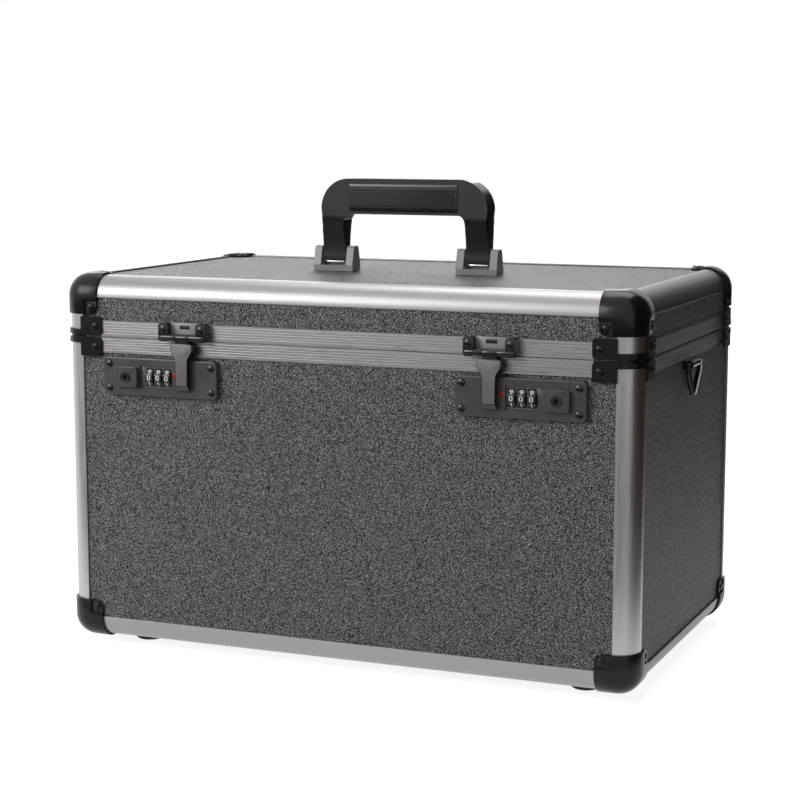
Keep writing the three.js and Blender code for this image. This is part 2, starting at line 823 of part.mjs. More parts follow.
// Keeper, with its origin on the hasp's axis in height and on the case's face in depth
function keeper() {
  const half = keeperWidth / 2;
  const low = clearance + seamGap / 2 - barrelLift;
  const top = low + keeperHeight;
  const block = (x0, x1, y0) => box(Math.min(x0, x1), Math.max(x0, x1), y0, -clearance, low, top);
  const gap = knuckleWidth / 2 + clearance;
  const sides = [-1, 1].flatMap((side) => {
    const inner = half - keeperEndWidth;
    const ends = [side * gap, side * half];
    const x0 = Math.min(...ends);
    const x1 = Math.max(...ends);
    const bevelled = prismY(
      roundedRectangle(
        Math.min(side * inner, side * half),
        Math.max(side * inner, side * half),
        low,
        top,
        keeperBevel,
        2,
      ),
      -keeperEndFace,
      -clearance,
      keeperBevel,
    );
    return [
      bevelled,
      block(side * inner, side * (half - keeperBevel), -keeperFace),
      rodX(x0, x1, -barrelOut, 0, barrelRadius, 20),
      box(x0, x1, -barrelOut, -clearance, low, 1.5),
    ];
  });
  const plate = block(keeperBevel - half, half - keeperBevel, -keeperFace);
  const slot = box(
    -keeperSlotWidth / 2,
    keeperSlotWidth / 2,
    -keeperFace - 1,
    0,
    keeperSlotLift,
    keeperSlotLift + keeperSlotHeight,
  );
  const pin = rodX(-gap - 2, gap + 2, -barrelOut, 0, pinRadius, 12);
  return join([plate.subtract(slot), ...sides, pin]);
}

// Hasp, with the same origin as the keeper
function hasp() {
  const wing = haspWingWidth / 2;
  const blade = haspBladeWidth / 2;
  const front = -haspBack - haspThickness;
  const face = [
    [wing, -haspTop],
    [-wing, -haspTop],
    [-wing, -haspShoulder],
    [-blade, -haspNeck],
    [-blade, -haspLength],
    [blade, -haspLength],
    [blade, -haspNeck],
    [wing, -haspShoulder],
  ];
  const half = knuckleWidth / 2;
  const plate = prismY(face, front, -haspBack, haspEdge);
  const tip = prismX(
    [
      [front - 1, haspTipHeight - haspLength],
      [front, haspTipHeight - haspLength],
      [front + haspThickness / 2, -haspLength - 1],
      [front - 1, -haspLength - 1],
    ],
    -wing,
    wing,
  );
  const knuckle = rodX(-half, half, -barrelOut, 0, barrelRadius, 20);
  const neck = box(-half, half, -barrelOut - barrelRadius, -haspBack, -haspTop - 1, -pinRadius - clearance);
  const bore = rodX(-half - 1, half + 1, -barrelOut, 0, pinRadius + clearance, 12);
  return cut(join([plate, knuckle, neck]), [tip, bore]).add(staple());
}

// The loop on the back of the hasp that the bolt goes through
function staple() {
  const middle = lockZ - barrelZ;
  const half = stapleThickness / 2;
  const tipY = stapleLength - haspBack;
  const outer = stapleHeight / 2;
  const inner = stapleHole / 2;
  return box(-half, half, -haspBack - 0.5, tipY, middle - outer, middle + outer).subtract(
    box(-half - 1, half + 1, -haspBack, tipY - stapleTip, middle - inner, middle + inner),
  );
}

function placeLocks() {
  const lock = geometryOf(lockCase());
  const number = geometryOf(dial());
  const plug = geometryOf(keyPlug());
  const bolt = geometryOf(latchBolt());
  const catchPlate = geometryOf(keeper());
  const flap = geometryOf(hasp());
  for (const [name, side] of Object.entries(leftRight)) {
    const sides = [side, 1, 1];
    const at = [side * lockCentreX, -halfDepth, lockZ];
    place(`lock_case_${name}`, lock, "lock", at, sides);
    for (const i of dials) {
      const x = side * (lockCentreX + dialX(i));
      place(`dial_${name}_${i + 1}`, number, "dial", [x, dialAxisY - halfDepth, lockZ], sides);
    }
    place(`key_plug_${name}`, plug, "steel", [side * (lockCentreX + keyCentreX), -halfDepth, lockZ], sides);
    place(`latch_bolt_${name}`, bolt, "steel", at, sides);
    const above = [side * keeperX, -halfDepth, barrelZ];
    place(`keeper_${name}`, catchPlate, "black", above, sides);
    place(`hasp_${name}`, flap, "hasp", above, sides);
  }
}

// Handle, with its origin on the axis that it folds about
function carryHandle() {
  const outer = handleWidth / 2;
  const inner = outer - handleLegWidth;
  const top = handleHeight - handlePivotLift;
  const under = top - handleGripHeight;
  const face = [
    [outer, handleLegGap],
    ...arc(outer - handleOuterRound, top - handleOuterRound, handleOuterRound, 0, 90, 8),
    ...arc(handleOuterRound - outer, top - handleOuterRound, handleOuterRound, 90, 180, 8),
    [-outer, handleLegGap],
    [-inner, handleLegGap],
    ...arc(handleInnerRound - inner, under - handleInnerRound, handleInnerRound, 180, 90, 4),
    ...arc(inner - handleInnerRound, under - handleInnerRound, handleInnerRound, 90, 0, 4),
    [inner, handleLegGap],
  ];
  const bow = prismY(face, -handleDepth / 2, handleDepth / 2, handleEdge);
  const slim = handleLegDepth / 2;
  const full = handleDepth / 2;
  const flare = new THREE.CubicBezierCurve(
    new THREE.Vector2(slim, handleLegStraight),
    new THREE.Vector2(slim, handleLegStraight + 10),
    new THREE.Vector2(full, handleFlareHeight - 10),
    new THREE.Vector2(full, handleFlareHeight),
  );
  const right = [[slim, 0], ...flare.getPoints(8).map((p) => [p.x, p.y]), [full, top + 1]];
  const left = right.map(([y, z]) => [-y, z]).reverse();
  const taper = prismX([...right, ...left], -outer - 1, outer + 1);
  const eyes = [-1, 1].map((side) => {
    const x0 = side * handlePivotX - handleEyeWidth / 2;
    const x1 = x0 + handleEyeWidth;
    const neckTop = handleLegGap + handleEdge;
    const eye = rodX(x0, x1, 0, 0, handleEyeRadius, 20);
    return eye.add(box(x0 + 2, x1 - 2, 0.3 - handleEyeRadius, handleEyeRadius - 0.3, 1, neckTop));
  });
  const bores = [-1, 1].map((side) => {
    const x0 = side * handlePivotX - handleEyeWidth / 2 - 1;
    return rodX(x0, x0 + handleEyeWidth + 2, 0, 0, handlePinRadius + clearance);
  });
  const grip = prismX(
    roundedRectangle(-gripDepth / 2, gripDepth / 2, under - gripDrop, top - gripDrop, gripRound, 4),
    -gripWidth / 2,
    gripWidth / 2,
    1,
  );
  return cut(join([bow.intersect(taper), grip, ...eyes]), bores);
}

// Handle bracket, with its origin on the top of the case below the pin
function handleBracket() {
  const low = clearance - panelInset;
  const window = bracketHalf - bracketCheek;
  const foot = bracketDepth / 2;
  const head = bracketTopDepth / 2;
  const shoulder = bracketHeight - 3;
  const side = [
    [-foot, low],
    [foot, low],
    [foot, bracketSill],
    [head, shoulder],
    ...arc(head - 3, shoulder, 3, 0, 90, 3),
    ...arc(3 - head, shoulder, 3, 90, 180, 3),
    [-head, shoulder],
    [-foot, bracketSill],
  ];
  const sill = (y0) => box(-window - 1, window + 1, y0, y0 + bracketSillWidth, low, bracketSill);
  return join([
    prismX(side, -bracketHalf, -window, 0.6),
    prismX(side, window, bracketHalf, 0.6),
    box(-window - 1, window + 1, -foot, foot, low, bracketBase),
    sill(-foot),
    sill(foot - bracketSillWidth),
    rodX(-window - 1, window + 1, 0, handlePivotLift, handlePinRadius),
  ]);
}

function placeHandle() {
  const bracket = geometryOf(handleBracket());
  for (const [name, side] of Object.entries(leftRight))
    place(`handle_bracket_${name}`, bracket, "lock", [side * handlePivotX, 0, topZ]);
  place("carry_handle", carryHandle(), "black", [0, 0, handlePivotZ]);
}

// Clip of a strap ring, with its origin on the side of the case at the ring's axis
function strapBracket() {
  const low = clearance - panelInset;
  const half = strapPlateWidth / 2;
  const tall = strapPlateHeight / 2;
  const barrel = strapBarrelWidth / 2;
  const plate = box(low, strapPlateFace, -half, half, -tall, tall);
  const loop = rodY(-barrel, barrel, strapBarrelRadius, 0, strapBarrelRadius, 20);
  return join([plate, loop]).subtract(
    rodY(-half - 1, half + 1, strapBarrelRadius, 0, ringWire / 2 + clearance, 16),
  );
}

// A ring with straight sides that draw in to a narrow lower end
function strapRing() {
  const half = ringWidth / 2;
  const tip = ringTipWidth / 2;
  const wire = ringWire;
  const top = wire / 2;
  const outer = [
    [half, top],
    [half, -ringShoulder],
    [tip, top - ringHeight],
    [-tip, top - ringHeight],
    [-half, -ringShoulder],
    [-half, top],
  ];
  const inner = [
    [half - wire, top + 1],
    [half - wire, -ringShoulder + 0.4],
    [tip - 1, top - ringHeight + wire],
    [1 - tip, top - ringHeight + wire],
    [wire - half, -ringShoulder + 0.4],
    [wire - half, top + 1],
  ];
  const loop = prismX(outer, -wire / 2, wire / 2, ringEdge).subtract(prismX(inner, -wire, wire));
  return loop.add(rodY(wire / 2 - half, half - wire / 2, 0, 0, wire / 2, 16));
}

function placeStraps() {
  const clip = geometryOf(strapBracket());
  const ring = geometryOf(strapRing());
  for (const [name, side] of Object.entries(leftRight)) {
    place(`strap_bracket_${name}`, clip, "black", [side * halfWidth, 0, strapZ], [side, 1, 1]);
    const x = side * (halfWidth + strapBarrelRadius);
    place(`strap_ring_${name}`, ring, "black", [x, 0, strapZ]);
  }
}

// Hinge leaf above or below the seam, with its origin on the back face at the seam
function hingeLeaf(up, knuckles, hasPin) {
  const half = hingeWidth / 2;
  const near = hingeBarrelRadius + clearance + 0.1;
  const back = clearance + hingeLeafThickness;
  const slab = (x0, x1, z0, z1) => box(x0, x1, clearance, back, Math.min(z0, z1), Math.max(z0, z1));
  const plate = slab(-half, half, up * near, up * hingeLeafHeight);
  const turns = knuckles.flatMap(([x0, x1]) => [
    rodX(x0, x1, hingeAxisOut, 0, hingeBarrelRadius, 20),
    slab(x0, x1, up * seamGap, up * (near + 1)),
  ]);
  const body = join([plate, ...turns]);
  if (hasPin) return body.add(rodX(-half, half, hingeAxisOut, 0, hingePinRadius, 12));
  return body.subtract(rodX(-half, half, hingeAxisOut, 0, hingePinRadius + clearance, 12));
}

function placeHinges() {
  const middle = hingeKnuckle / 2;
  const outer = middle + clearance;
  const half = hingeWidth / 2;
  const sides = [
    [-half, -outer],
    [outer, half],
  ];
  const bodyLeaf = geometryOf(hingeLeaf(-1, sides, true));
  const lidLeaf = geometryOf(hingeLeaf(1, [[-middle, middle]], false));
  for (const [name, side] of Object.entries(leftRight)) {
    const at = [side * hingeOffset, halfDepth, seamZ];
    place(`hinge_body_leaf_${name}`, bodyLeaf, "lock", at);
    place(`hinge_lid_leaf_${name}`, lidLeaf, "lock", at);
  }
}

place("body_edge_frame", bodyEdgeFrame(), "rail");
place("lid_edge_frame", lidEdgeFrame(), "rail");
place("body_rim_frame", rimFrame(bodyTopZ, 1, true), "rim");
place("lid_rim_frame", rimFrame(lidBottomZ, -1, false), "rim");
placePanels();
placeLinings();
placeCornerCaps();
placeRimCorners();
placeFeet();
placeLocks();
placeHandle();
placeStraps();
placeHinges();

export default part;
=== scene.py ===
"""Looks of a lockable medicine case: fine surfaces, materials, light and camera."""

import json
import math

import bmesh
import bpy
from mathutils import Matrix, Vector


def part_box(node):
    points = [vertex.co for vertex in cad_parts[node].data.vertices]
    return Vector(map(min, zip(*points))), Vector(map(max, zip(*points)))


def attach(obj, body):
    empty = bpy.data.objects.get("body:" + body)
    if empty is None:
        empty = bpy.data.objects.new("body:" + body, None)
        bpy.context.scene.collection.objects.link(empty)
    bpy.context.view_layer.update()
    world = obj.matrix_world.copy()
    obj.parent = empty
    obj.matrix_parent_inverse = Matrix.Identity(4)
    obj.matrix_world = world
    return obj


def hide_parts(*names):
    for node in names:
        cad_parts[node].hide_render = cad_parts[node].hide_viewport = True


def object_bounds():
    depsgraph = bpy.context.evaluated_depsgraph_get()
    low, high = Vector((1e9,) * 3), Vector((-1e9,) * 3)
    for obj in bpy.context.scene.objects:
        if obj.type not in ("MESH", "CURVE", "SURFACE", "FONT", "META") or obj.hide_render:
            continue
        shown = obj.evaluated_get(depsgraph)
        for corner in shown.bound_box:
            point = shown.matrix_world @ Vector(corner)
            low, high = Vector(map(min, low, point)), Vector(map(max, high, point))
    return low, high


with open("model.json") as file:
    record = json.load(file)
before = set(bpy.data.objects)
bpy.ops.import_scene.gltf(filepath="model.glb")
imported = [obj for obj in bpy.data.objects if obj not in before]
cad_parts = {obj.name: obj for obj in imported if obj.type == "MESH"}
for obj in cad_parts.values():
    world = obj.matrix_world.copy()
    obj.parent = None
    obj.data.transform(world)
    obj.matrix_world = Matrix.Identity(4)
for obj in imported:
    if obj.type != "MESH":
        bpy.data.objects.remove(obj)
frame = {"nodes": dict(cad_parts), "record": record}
cad_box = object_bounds()
nodes = frame["nodes"]
mm = 0.001
sides = {"left": -1, "right": 1}
ends = {"front": -1, "rear": 1}

body_low, body_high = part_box("body_edge_frame")
lid_low, lid_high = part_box("lid_edge_frame")
face = {
    "left": body_low.x,
    "right": body_high.x,
    "front": body_low.y,
    "rear": body_high.y,
    "base": body_low.z,
    "top": lid_high.z,
}
middle_y = (face["front"] + face["rear"]) / 2
body_top = body_high.z
lid_bottom = lid_low.z
seam_middle = (body_top + lid_bottom) / 2


def set_up_camera():
    """Stands where the photograph was taken from."""
    camera_place = Vector((597.75, -1444.07, 414.92)) * mm
    yaw = 0.396
    pitch = 0.141
    focal_pixels = 1933.65
    frame_pixels = 800
    data = bpy.data.cameras.new("camera")
    data.sensor_width = 36
    data.lens = focal_pixels / frame_pixels * data.sensor_width
    data.clip_end = 20
    camera = bpy.data.objects.new("camera", data)
    forward = Vector(
        (-math.sin(yaw) * math.cos(pitch), math.cos(yaw) * math.cos(pitch), -math.sin(pitch))
    )
    turn = forward.to_track_quat("-Z", "Y").to_matrix().to_4x4()
    camera.matrix_world = Matrix.Translation(camera_place) @ turn
    bpy.context.scene.collection.objects.link(camera)
    bpy.context.scene.camera = camera


set_up_camera()


def new_material(name, colour, roughness, metallic=0.0, specular=0.5):
    """A material with its surface shader; the other functions add the grain."""
    material = bpy.data.materials.new(name)
    material.use_nodes = True
    shader = material.node_tree.nodes["Principled BSDF"]
    shader.inputs["Base Color"].default_value = (*colour, 1)
    shader.inputs["Roughness"].default_value = roughness
    shader.inputs["Metallic"].default_value = metallic
    shader.inputs["Specular IOR Level"].default_value = specular
    return material


def shader_of(material):
    return material.node_tree.nodes["Principled BSDF"]


def add_node(material, kind, **inputs):
    node = material.node_tree.nodes.new(kind)
    for name, value in inputs.items():
        node.inputs[name.replace("_", " ")].default_value = value
    return node


def link(material, source, target):
    material.node_tree.links.new(source, target)


even = (1, 1, 1)
grain_turn = (0.5, 0.7, 0.3)


def noise(material, scale, detail=2.0, roughness=0.5, stretch=even):
    """Noise in object space, so that its grain has the same size on every piece."""
    place = add_node(material, "ShaderNodeTexCoord")
    mapping = add_node(material, "ShaderNodeMapping")
    mapping.inputs["Scale"].default_value = stretch
    if stretch == even:
        # Turned, because the noise fades on faces that lie along its own grid.
        mapping.inputs["Rotation"].default_value = grain_turn
    link(material, place.outputs["Object"], mapping.inputs["Vector"])
    node = add_node(material, "ShaderNodeTexNoise", Scale=scale, Detail=detail, Roughness=roughness)
    link(material, mapping.outputs["Vector"], node.inputs["Vector"])
    return node.outputs["Fac"]


def ramp(material, value, stops):
    """Turns a value into a colour through (position, colour) stops."""
    node = add_node(material, "ShaderNodeValToRGB")
    elements = node.color_ramp.elements
    while len(elements) < len(stops):
        elements.new(0.5)
    for element, (position, colour) in zip(elements, stops):
        element.position = position
        element.color = (*colour, 1)
    link(material, value, node.inputs["Fac"])
    return node.outputs["Color"]


def spread(material, value, low, high):
    """Maps the middle of a noise onto the range from low to high."""
    node = add_node(material, "ShaderNodeMapRange")
    node.inputs["From Min"].default_value = 0.3
    node.inputs["From Max"].default_value = 0.7
    node.inputs["To Min"].default_value = low
    node.inputs["To Max"].default_value = high
    link(material, value, node.inputs["Value"])
    return node.outputs["Result"]


def add_bump(material, height, distance, strength=1.0):
    node = add_node(material, "ShaderNodeBump", Strength=strength, Distance=distance)
    link(material, height, node.inputs["Height"])
    link(material, node.outputs["Normal"], shader_of(material).inputs["Normal"])


def pebbled_panel():
    """Dark laminate with a fine pebble grain, with painted highlights on its tops and painted shade in its
    hollows.
    """
    dark, mid, light = (0.001, 0.001, 0.0012), (0.02, 0.0195, 0.02), (0.72, 0.7, 0.725)
    material = new_material("panel_skin", mid, 0.5, specular=0.18)
    grain = noise(material, 2400, 0.0)
    # The ramp follows the bump's height: its light stop is a painted highlight on the pebble tops and its
    # dark stop painted shade in the hollows.
    colour = ramp(material, grain, [(0.52, dark), (0.58, mid), (0.67, light)])
    link(material, colour, shader_of(material).inputs["Base Color"])
    link(material, spread(material, grain, 0.62, 0.42), shader_of(material).inputs["Roughness"])
    add_bump(material, grain, 0.12 * mm)
    return material


def anodised(name, colour, roughness, stretch):
    """Satin metal with fine drawing lines along the stretch direction."""
    material = new_material(name, colour, roughness, metallic=1.0)
    lines = noise(material, 1500, 3, stretch=stretch)
    gloss = spread(material, lines, roughness - 0.05, roughness + 0.07)
    link(material, gloss, shader_of(material).inputs["Roughness"])
    shades = [(0.2, [c * 0.93 for c in colour]), (0.8, [min(1, c * 1.05) for c in colour])]
    link(material, ramp(material, lines, shades), shader_of(material).inputs["Base Color"])
    add_bump(material, lines, 0.01 * mm)
    return material


def painted(name, colour, roughness, grain=0.02, specular=0.5):
    """Powder coated or moulded surface with a faint orange peel and uneven gloss."""
    material = new_material(name, colour, roughness, specular=specular)
    peel = noise(material, 1400, 2)
    patches = noise(material, 60, 2)
    gloss = spread(material, patches, roughness - 0.04, roughness + 0.05)
    link(material, gloss, shader_of(material).inputs["Roughness"])
    shades = [(0.3, [c * 0.88 for c in colour]), (0.7, [c * 1.12 for c in colour])]
    link(material, ramp(material, patches, shades), shader_of(material).inputs["Base Color"])
    add_bump(material, peel, grain * mm)
    return material


def felt():
    """Cloth face of the foam lining."""
    material = new_material("lining_foam", (0.035, 0.035, 0.038), 0.95, specular=0.2)
    fibres = noise(material, 2200, 4, 0.7)
    shades = [(0.3, (0.022, 0.022, 0.024)), (0.7, (0.055, 0.055, 0.06))]
    link(material, ramp(material, fibres, shades), shader_of(material).inputs["Base Color"])
    shader_of(material).inputs["Sheen Weight"].default_value = 0.3
    add_bump(material, fibres, 0.15 * mm)
    return material


along_x = (0.02, 1, 1)
along_y = (1, 0.02, 1)
along_z = (1, 1, 0.02)
looks = {
    "panel_skin": pebbled_panel(),
    "edge_aluminium": anodised("edge_aluminium", (0.33, 0.318, 0.326), 0.4, along_x),
    # The short rails and the uprights are the same aluminium as edge_aluminium: the y copy is darker as
    # painted shade on the case's sides, the z copy lighter as painted light on the uprights.
    "edge_aluminium_shaded_y": anodised("edge_aluminium_shaded_y", (0.2, 0.188, 0.184), 0.42, along_y),
    "edge_aluminium_lit_z": anodised("edge_aluminium_lit_z", (0.47, 0.455, 0.46), 0.38, along_z),
    "rim_aluminium": anodised("rim_aluminium", (0.44, 0.427, 0.436), 0.3, along_x),
    "corner_black": painted("corner_black", (0.009, 0.009, 0.01), 0.26, 0.008, 0.25),
    "rib_black": painted("rib_black", (0.012, 0.012, 0.013), 0.45, 0.01, 0.35),
    "bright_steel": anodised("bright_steel", (0.8, 0.8, 0.8), 0.22, along_x),
    "plug_black": painted("plug_black", (0.01, 0.01, 0.01), 0.3, 0.005),
    "rivet_black": painted("rivet_black", (0.01, 0.01, 0.011), 0.2, 0.004),
    "recess_grey": painted("recess_grey", (0.10, 0.095, 0.10), 0.35),
    "plate_grey": painted("plate_grey", (0.3, 0.29, 0.31), 0.35),
    "window_red": painted("window_red", (0.45, 0.01, 0.01), 0.35, 0.005),
    "digit_white": painted("digit_white", (0.8, 0.8, 0.8), 0.5, 0.005),
    "keeper_black": painted("keeper_black", (0.012, 0.012, 0.013), 0.18, 0.008),
    "lock_grey": painted("lock_grey", (0.06, 0.056, 0.058), 0.4),
    "bracket_grey": painted("bracket_grey", (0.27, 0.255, 0.27), 0.33),
    "hasp_grey": painted("hasp_grey", (0.19, 0.175, 0.195), 0.38),
    "dial_black": painted("dial_black", (0.008, 0.008, 0.008), 0.35, 0.005),
    "lock_steel": anodised("lock_steel", (0.35, 0.35, 0.36), 0.3, along_x),
    "handle_black": painted("handle_black", (0.01, 0.01, 0.011), 0.2, 0.005),
    "strap_black": painted("strap_black", (0.012, 0.012, 0.013), 0.2, 0.008),
    "foot_rubber": painted("foot_rubber", (0.012, 0.012, 0.012), 0.75, 0.05),
    "lining_foam": felt(),
}


def dress_nodes():
    """Gives each CAD node the look of its record slot."""
    for entry in frame["record"]["subparts"]:
        mesh = nodes[entry["node"]].data
        mesh.materials.clear()
        mesh.materials.append(looks[entry["material_slot"]])


dress_nodes()


def add_piece(name, mesh, look, body, *replaced):
    """Puts a mesh in the scene, on a body, and in the place of the nodes that it replaces."""
    piece = bpy.data.objects.new(name, mesh)
    mesh.materials.append(looks[look])
    bpy.context.scene.collection.objects.link(piece)
    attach(piece, body)
    if replaced:
        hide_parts(*replaced)
    return piece


def shade(mesh, degrees=32):
    """Smooth shading, with a sharp line where two faces meet at more than some angle."""
    mesh.shade_smooth()
    mesh.set_sharp_from_angle(angle=math.radians(degrees))
    return mesh


def to_mesh(name, bm):
    bmesh.ops.remove_doubles(bm, verts=bm.verts, dist=0.001 * mm)
    bmesh.ops.recalc_face_normals(bm, faces=bm.faces)
    mesh = bpy.data.meshes.new(name)
    bm.to_mesh(mesh)
    bm.free()
    return shade(mesh)


def arc(cu, cv, radius, start, end, steps):
    """Points on a circle, with its angles in degrees."""
    angles = [math.radians(start + (end - start) * i / steps) for i in range(steps + 1)]
    return [(cu + radius * math.cos(a), cv + radius * math.sin(a)) for a in angles]


def add_prism(bm, points, axis, low, high, bevel=0.0):
    """A section drawn across an axis, in the order of the two other axes, and carried along it."""
    def corner(u, v, w):
        place = [u, v]
        place.insert(axis, w)
        return bm.verts.new(place)

    near = [corner(u, v, low) for u, v in points]
    far = [corner(u, v, high) for u, v in points]
    faces = [bm.faces.new(near[::-1]), bm.faces.new(far)]
    for i in range(len(points)):
        j = (i + 1) % len(points)
        faces.append(bm.faces.new((near[i], near[j], far[j], far[i])))
    if bevel:
        rims = [edge for end_face in faces[:2] for edge in end_face.edges]
        bmesh.ops.bevel(bm, geom=rims, offset=bevel, segments=2, affect="EDGES", profile=0.5)


def rectangle(u0, u1, v0, v1):
    return [(u0, v0), (u1, v0), (u1, v1), (u0, v1)]


def rounded_rectangle(u0, u1, v0, v1, radius, steps=6):
    return [
        *arc(u0 + radius, v0 + radius, radius, 180, 270, steps),
        *arc(u1 - radius, v0 + radius, radius, 270, 360, steps),
        *arc(u1 - radius, v1 - radius, radius, 0, 90, steps),
        *arc(u0 + radius, v1 - radius, radius, 90, 180, steps),
    ]


def add_lathe(bm, profile, centre, axis, steps=24):
    """A profile of (radius, height) turned about an axis through a point."""
    axis = Vector(axis).normalized()
    turn = axis.to_track_quat("Z", "Y")
    rings = []
    for radius, height in profile:
        ring = []
        for i in range(steps if radius else 1):
            angle = 2 * math.pi * i / steps
            local = Vector((radius * math.cos(angle), radius * math.sin(angle), height))
            ring.append(bm.verts.new(Vector(centre) + turn @ local))
        rings.append(ring)
    for lower, upper in zip(rings, rings[1:]):
        for i in range(steps):
            j = (i + 1) % steps
            below = [lower[i % len(lower)], lower[j % len(lower)]]
            above = [upper[j % len(upper)], upper[i % len(upper)]]
            unique = list(dict.fromkeys(below + above))
            if len(unique) > 2:
                bm.faces.new(unique)


def combine(target, tools, operation):
    """Boolean of objects, applied to the target's mesh; the tools are deleted."""
    for tool in tools:
        step = target.modifiers.new("step", "BOOLEAN")
        step.object = tool
        step.operation = operation
        step.solver = "EXACT"
        bpy.context.view_layer.update()
        solved = target.evaluated_get(bpy.context.evaluated_depsgraph_get())
        mesh = bpy.data.meshes.new_from_object(solved)
        target.modifiers.clear()
        target.data = mesh
        bpy.data.objects.remove(tool)
    return target


def loose(name, bm):
    """A temporary object for a boolean."""
    piece = bpy.data.objects.new(name, to_mesh(name, bm))
    bpy.context.scene.collection.objects.link(piece)
    return piece


rail_radius = 16.5 * mm
rail_reach = 17.2 * mm
rail_wall = 1.2 * mm
rail_slot_floor = 12.7 * mm
rail_lip = 0.35 * mm
rail_steps = 20
cap_reach = 30.3 * mm
cap_under = 2 * mm


def rail_section():
    """Section of a rounded edge rail, as depths from its two outer faces."""
    inner = rail_radius - rail_wall
    return [
        (rail_reach, rail_lip),
        (rail_reach - rail_lip, 0),
        *arc(rail_radius, rail_radius, rail_radius, 270, 180, rail_steps),
        (0, rail_reach - rail_lip),
        (rail_lip, rail_reach),
        (rail_wall, rail_reach),
        (rail_wall, rail_slot_floor),
        *arc(rail_radius, rail_radius, inner, 188, 262, rail_steps),
        (rail_slot_floor, rail_wall),
        (rail_reach, rail_wall),
    ]


def from_faces(points, face_u, side_u, face_v, side_v):
    """Turns depths from two faces into places; a side of 1 is the face on the plus side."""
    return [(face_u - side_u * u, face_v - side_v * v) for u, v in points]


def edge_rails(owner, level, side, node):
    """Rails along the four edges at the base or the top."""
    start = cap_reach - cap_under
    run_x = bmesh.new()
    run_y = bmesh.new()
    for end in ends:
        section = from_faces(rail_section(), face[end], ends[end], face[level], side)
        add_prism(run_x, section, 0, face["left"] + start, face["right"] - start)
    for end in sides:
        section = from_faces(rail_section(), face[end], sides[end], face[level], side)
        add_prism(run_y, section, 1, face["front"] + start, face["rear"] - start)
    add_piece(f"{owner}_rails_long", to_mesh(f"{owner}_rails_long", run_x), "edge_aluminium", owner, node)
    # The short rails take the darker copy of the aluminium: painted shade.
    add_piece(f"{owner}_rails_short", to_mesh(f"{owner}_rails_short", run_y), "edge_aluminium_shaded_y", owner)


def corner_uprights(owner, low, high):
    bm = bmesh.new()
    for side in sides:
        for end in ends:
            section = from_faces(rail_section(), face[side], sides[side], face[end], ends[end])
            add_prism(bm, section, 2, low, high)
    # The uprights take the lighter copy of the aluminium: painted light.
    add_piece(f"{owner}_uprights", to_mesh(f"{owner}_uprights", bm), "edge_aluminium_lit_z", owner)


def rails():
    start = cap_reach - cap_under
    edge_rails("body", "base", -1, "body_edge_frame")
    edge_rails("lid", "top", 1, "lid_edge_frame")
    corner_uprights("body", face["base"] + start, body_top)
    corner_uprights("lid", lid_bottom, face["top"] - start)


rails()


cap_lift = 1.8 * mm
cap_inner_lift = 0.5 * mm
cap_tab_low = 1.2 * mm
cap_tab_high = -0.6 * mm
cap_tab_start = 20 * mm
cap_tab_round = 6 * mm
cap_tab_inner = 17.5 * mm
cap_steps = 12
corner_bevel = 0.25 * mm
cap_rivet_place = 24.9 * mm
rivet_steps = ((2.9, 0), (2.9, 0.3), (2.6, 0.8), (1.9, 1.15), (1.1, 1.35), (0, 1.4))
rivet_profile = [(radius * mm, height * mm) for radius, height in rivet_steps]
rivet_lift = 1.8 * mm


def rounded_corner(lift, reach):
    """The rounded corner of a block, as depths from three faces, cut off at some reach."""
    bm = bmesh.new()
    size = 3 * cap_reach
    bmesh.ops.create_cube(bm, size=size)
    bmesh.ops.translate(bm, verts=bm.verts, vec=[size / 2 - lift] * 3)
    radius = rail_radius + lift
    bmesh.ops.bevel(bm, geom=bm.edges[:], offset=radius, segments=cap_steps, affect="EDGES", profile=0.5)
    for axis in range(3):
        place = [0, 0, 0]
        place[axis] = reach
        normal = [0, 0, 0]
        normal[axis] = 1
        geometry = bm.verts[:] + bm.edges[:] + bm.faces[:]
        cut = bmesh.ops.bisect_plane(bm, geom=geometry, plane_co=place, plane_no=normal, clear_outer=True)
        rim = [item for item in cut["geom_cut"] if isinstance(item, bmesh.types.BMEdge)]
        bmesh.ops.holes_fill(bm, edges=rim)
    return bm


def depth_box(ranges):
    bm = bmesh.new()
    across_x, across_y, across_z = ranges
    add_prism(bm, rectangle(*across_x, *across_y), 2, *across_z)
    return bm


def tab_section():
    """A square with its free corner rounded, as two depths."""
    centre = cap_reach - cap_tab_round
    return [
        (cap_tab_inner, cap_tab_inner),
        (cap_reach, cap_tab_inner),
        *arc(centre, centre, cap_tab_round, 0, 90, 8),
        (cap_tab_inner, cap_reach),
    ]


def corner_cap():
    """A ball corner: a rounded shell with a lower tab for a rivet on each face."""
    cap = loose("cap", rounded_corner(cap_lift, cap_reach))
    cutters = [loose("cutter", rounded_corner(cap_inner_lift, cap_reach + 1 * mm))]
    for axis in range(3):
        ranges = [(cap_tab_start, 2 * cap_reach)] * 2
        ranges.insert(axis, (-5 * mm, 5 * mm))
        cutters.append(loose("cutter", depth_box(ranges)))
    combine(cap, cutters, "DIFFERENCE")
    rim = cap.modifiers.new("rim", "BEVEL")
    rim.width = corner_bevel
    rim.segments = 2
    rim.limit_method = "ANGLE"
    rim.angle_limit = math.radians(50)
    bpy.context.view_layer.update()
    solved = cap.evaluated_get(bpy.context.evaluated_depsgraph_get())
    bm = bmesh.new()
    bm.from_mesh(bpy.data.meshes.new_from_object(solved))
    bpy.data.objects.remove(cap)
    for axis in range(3):
        add_prism(bm, tab_section(), axis, cap_tab_high, cap_tab_low, corner_bevel)
        centre = [cap_rivet_place] * 3
        centre[axis] = cap_tab_high
        outwards = [0, 0, 0]
        outwards[axis] = -1
        add_lathe(bm, rivet_profile, centre, outwards)
    return to_mesh("cap", bm)


def corner_place(side, end, level, up):
    """The matrix that takes depths from three faces to a corner of the case."""
    origin = Matrix.Translation((face[side], face[end], face[level]))
    return origin @ Matrix.Diagonal((-sides[side], -ends[end], -up, 1))


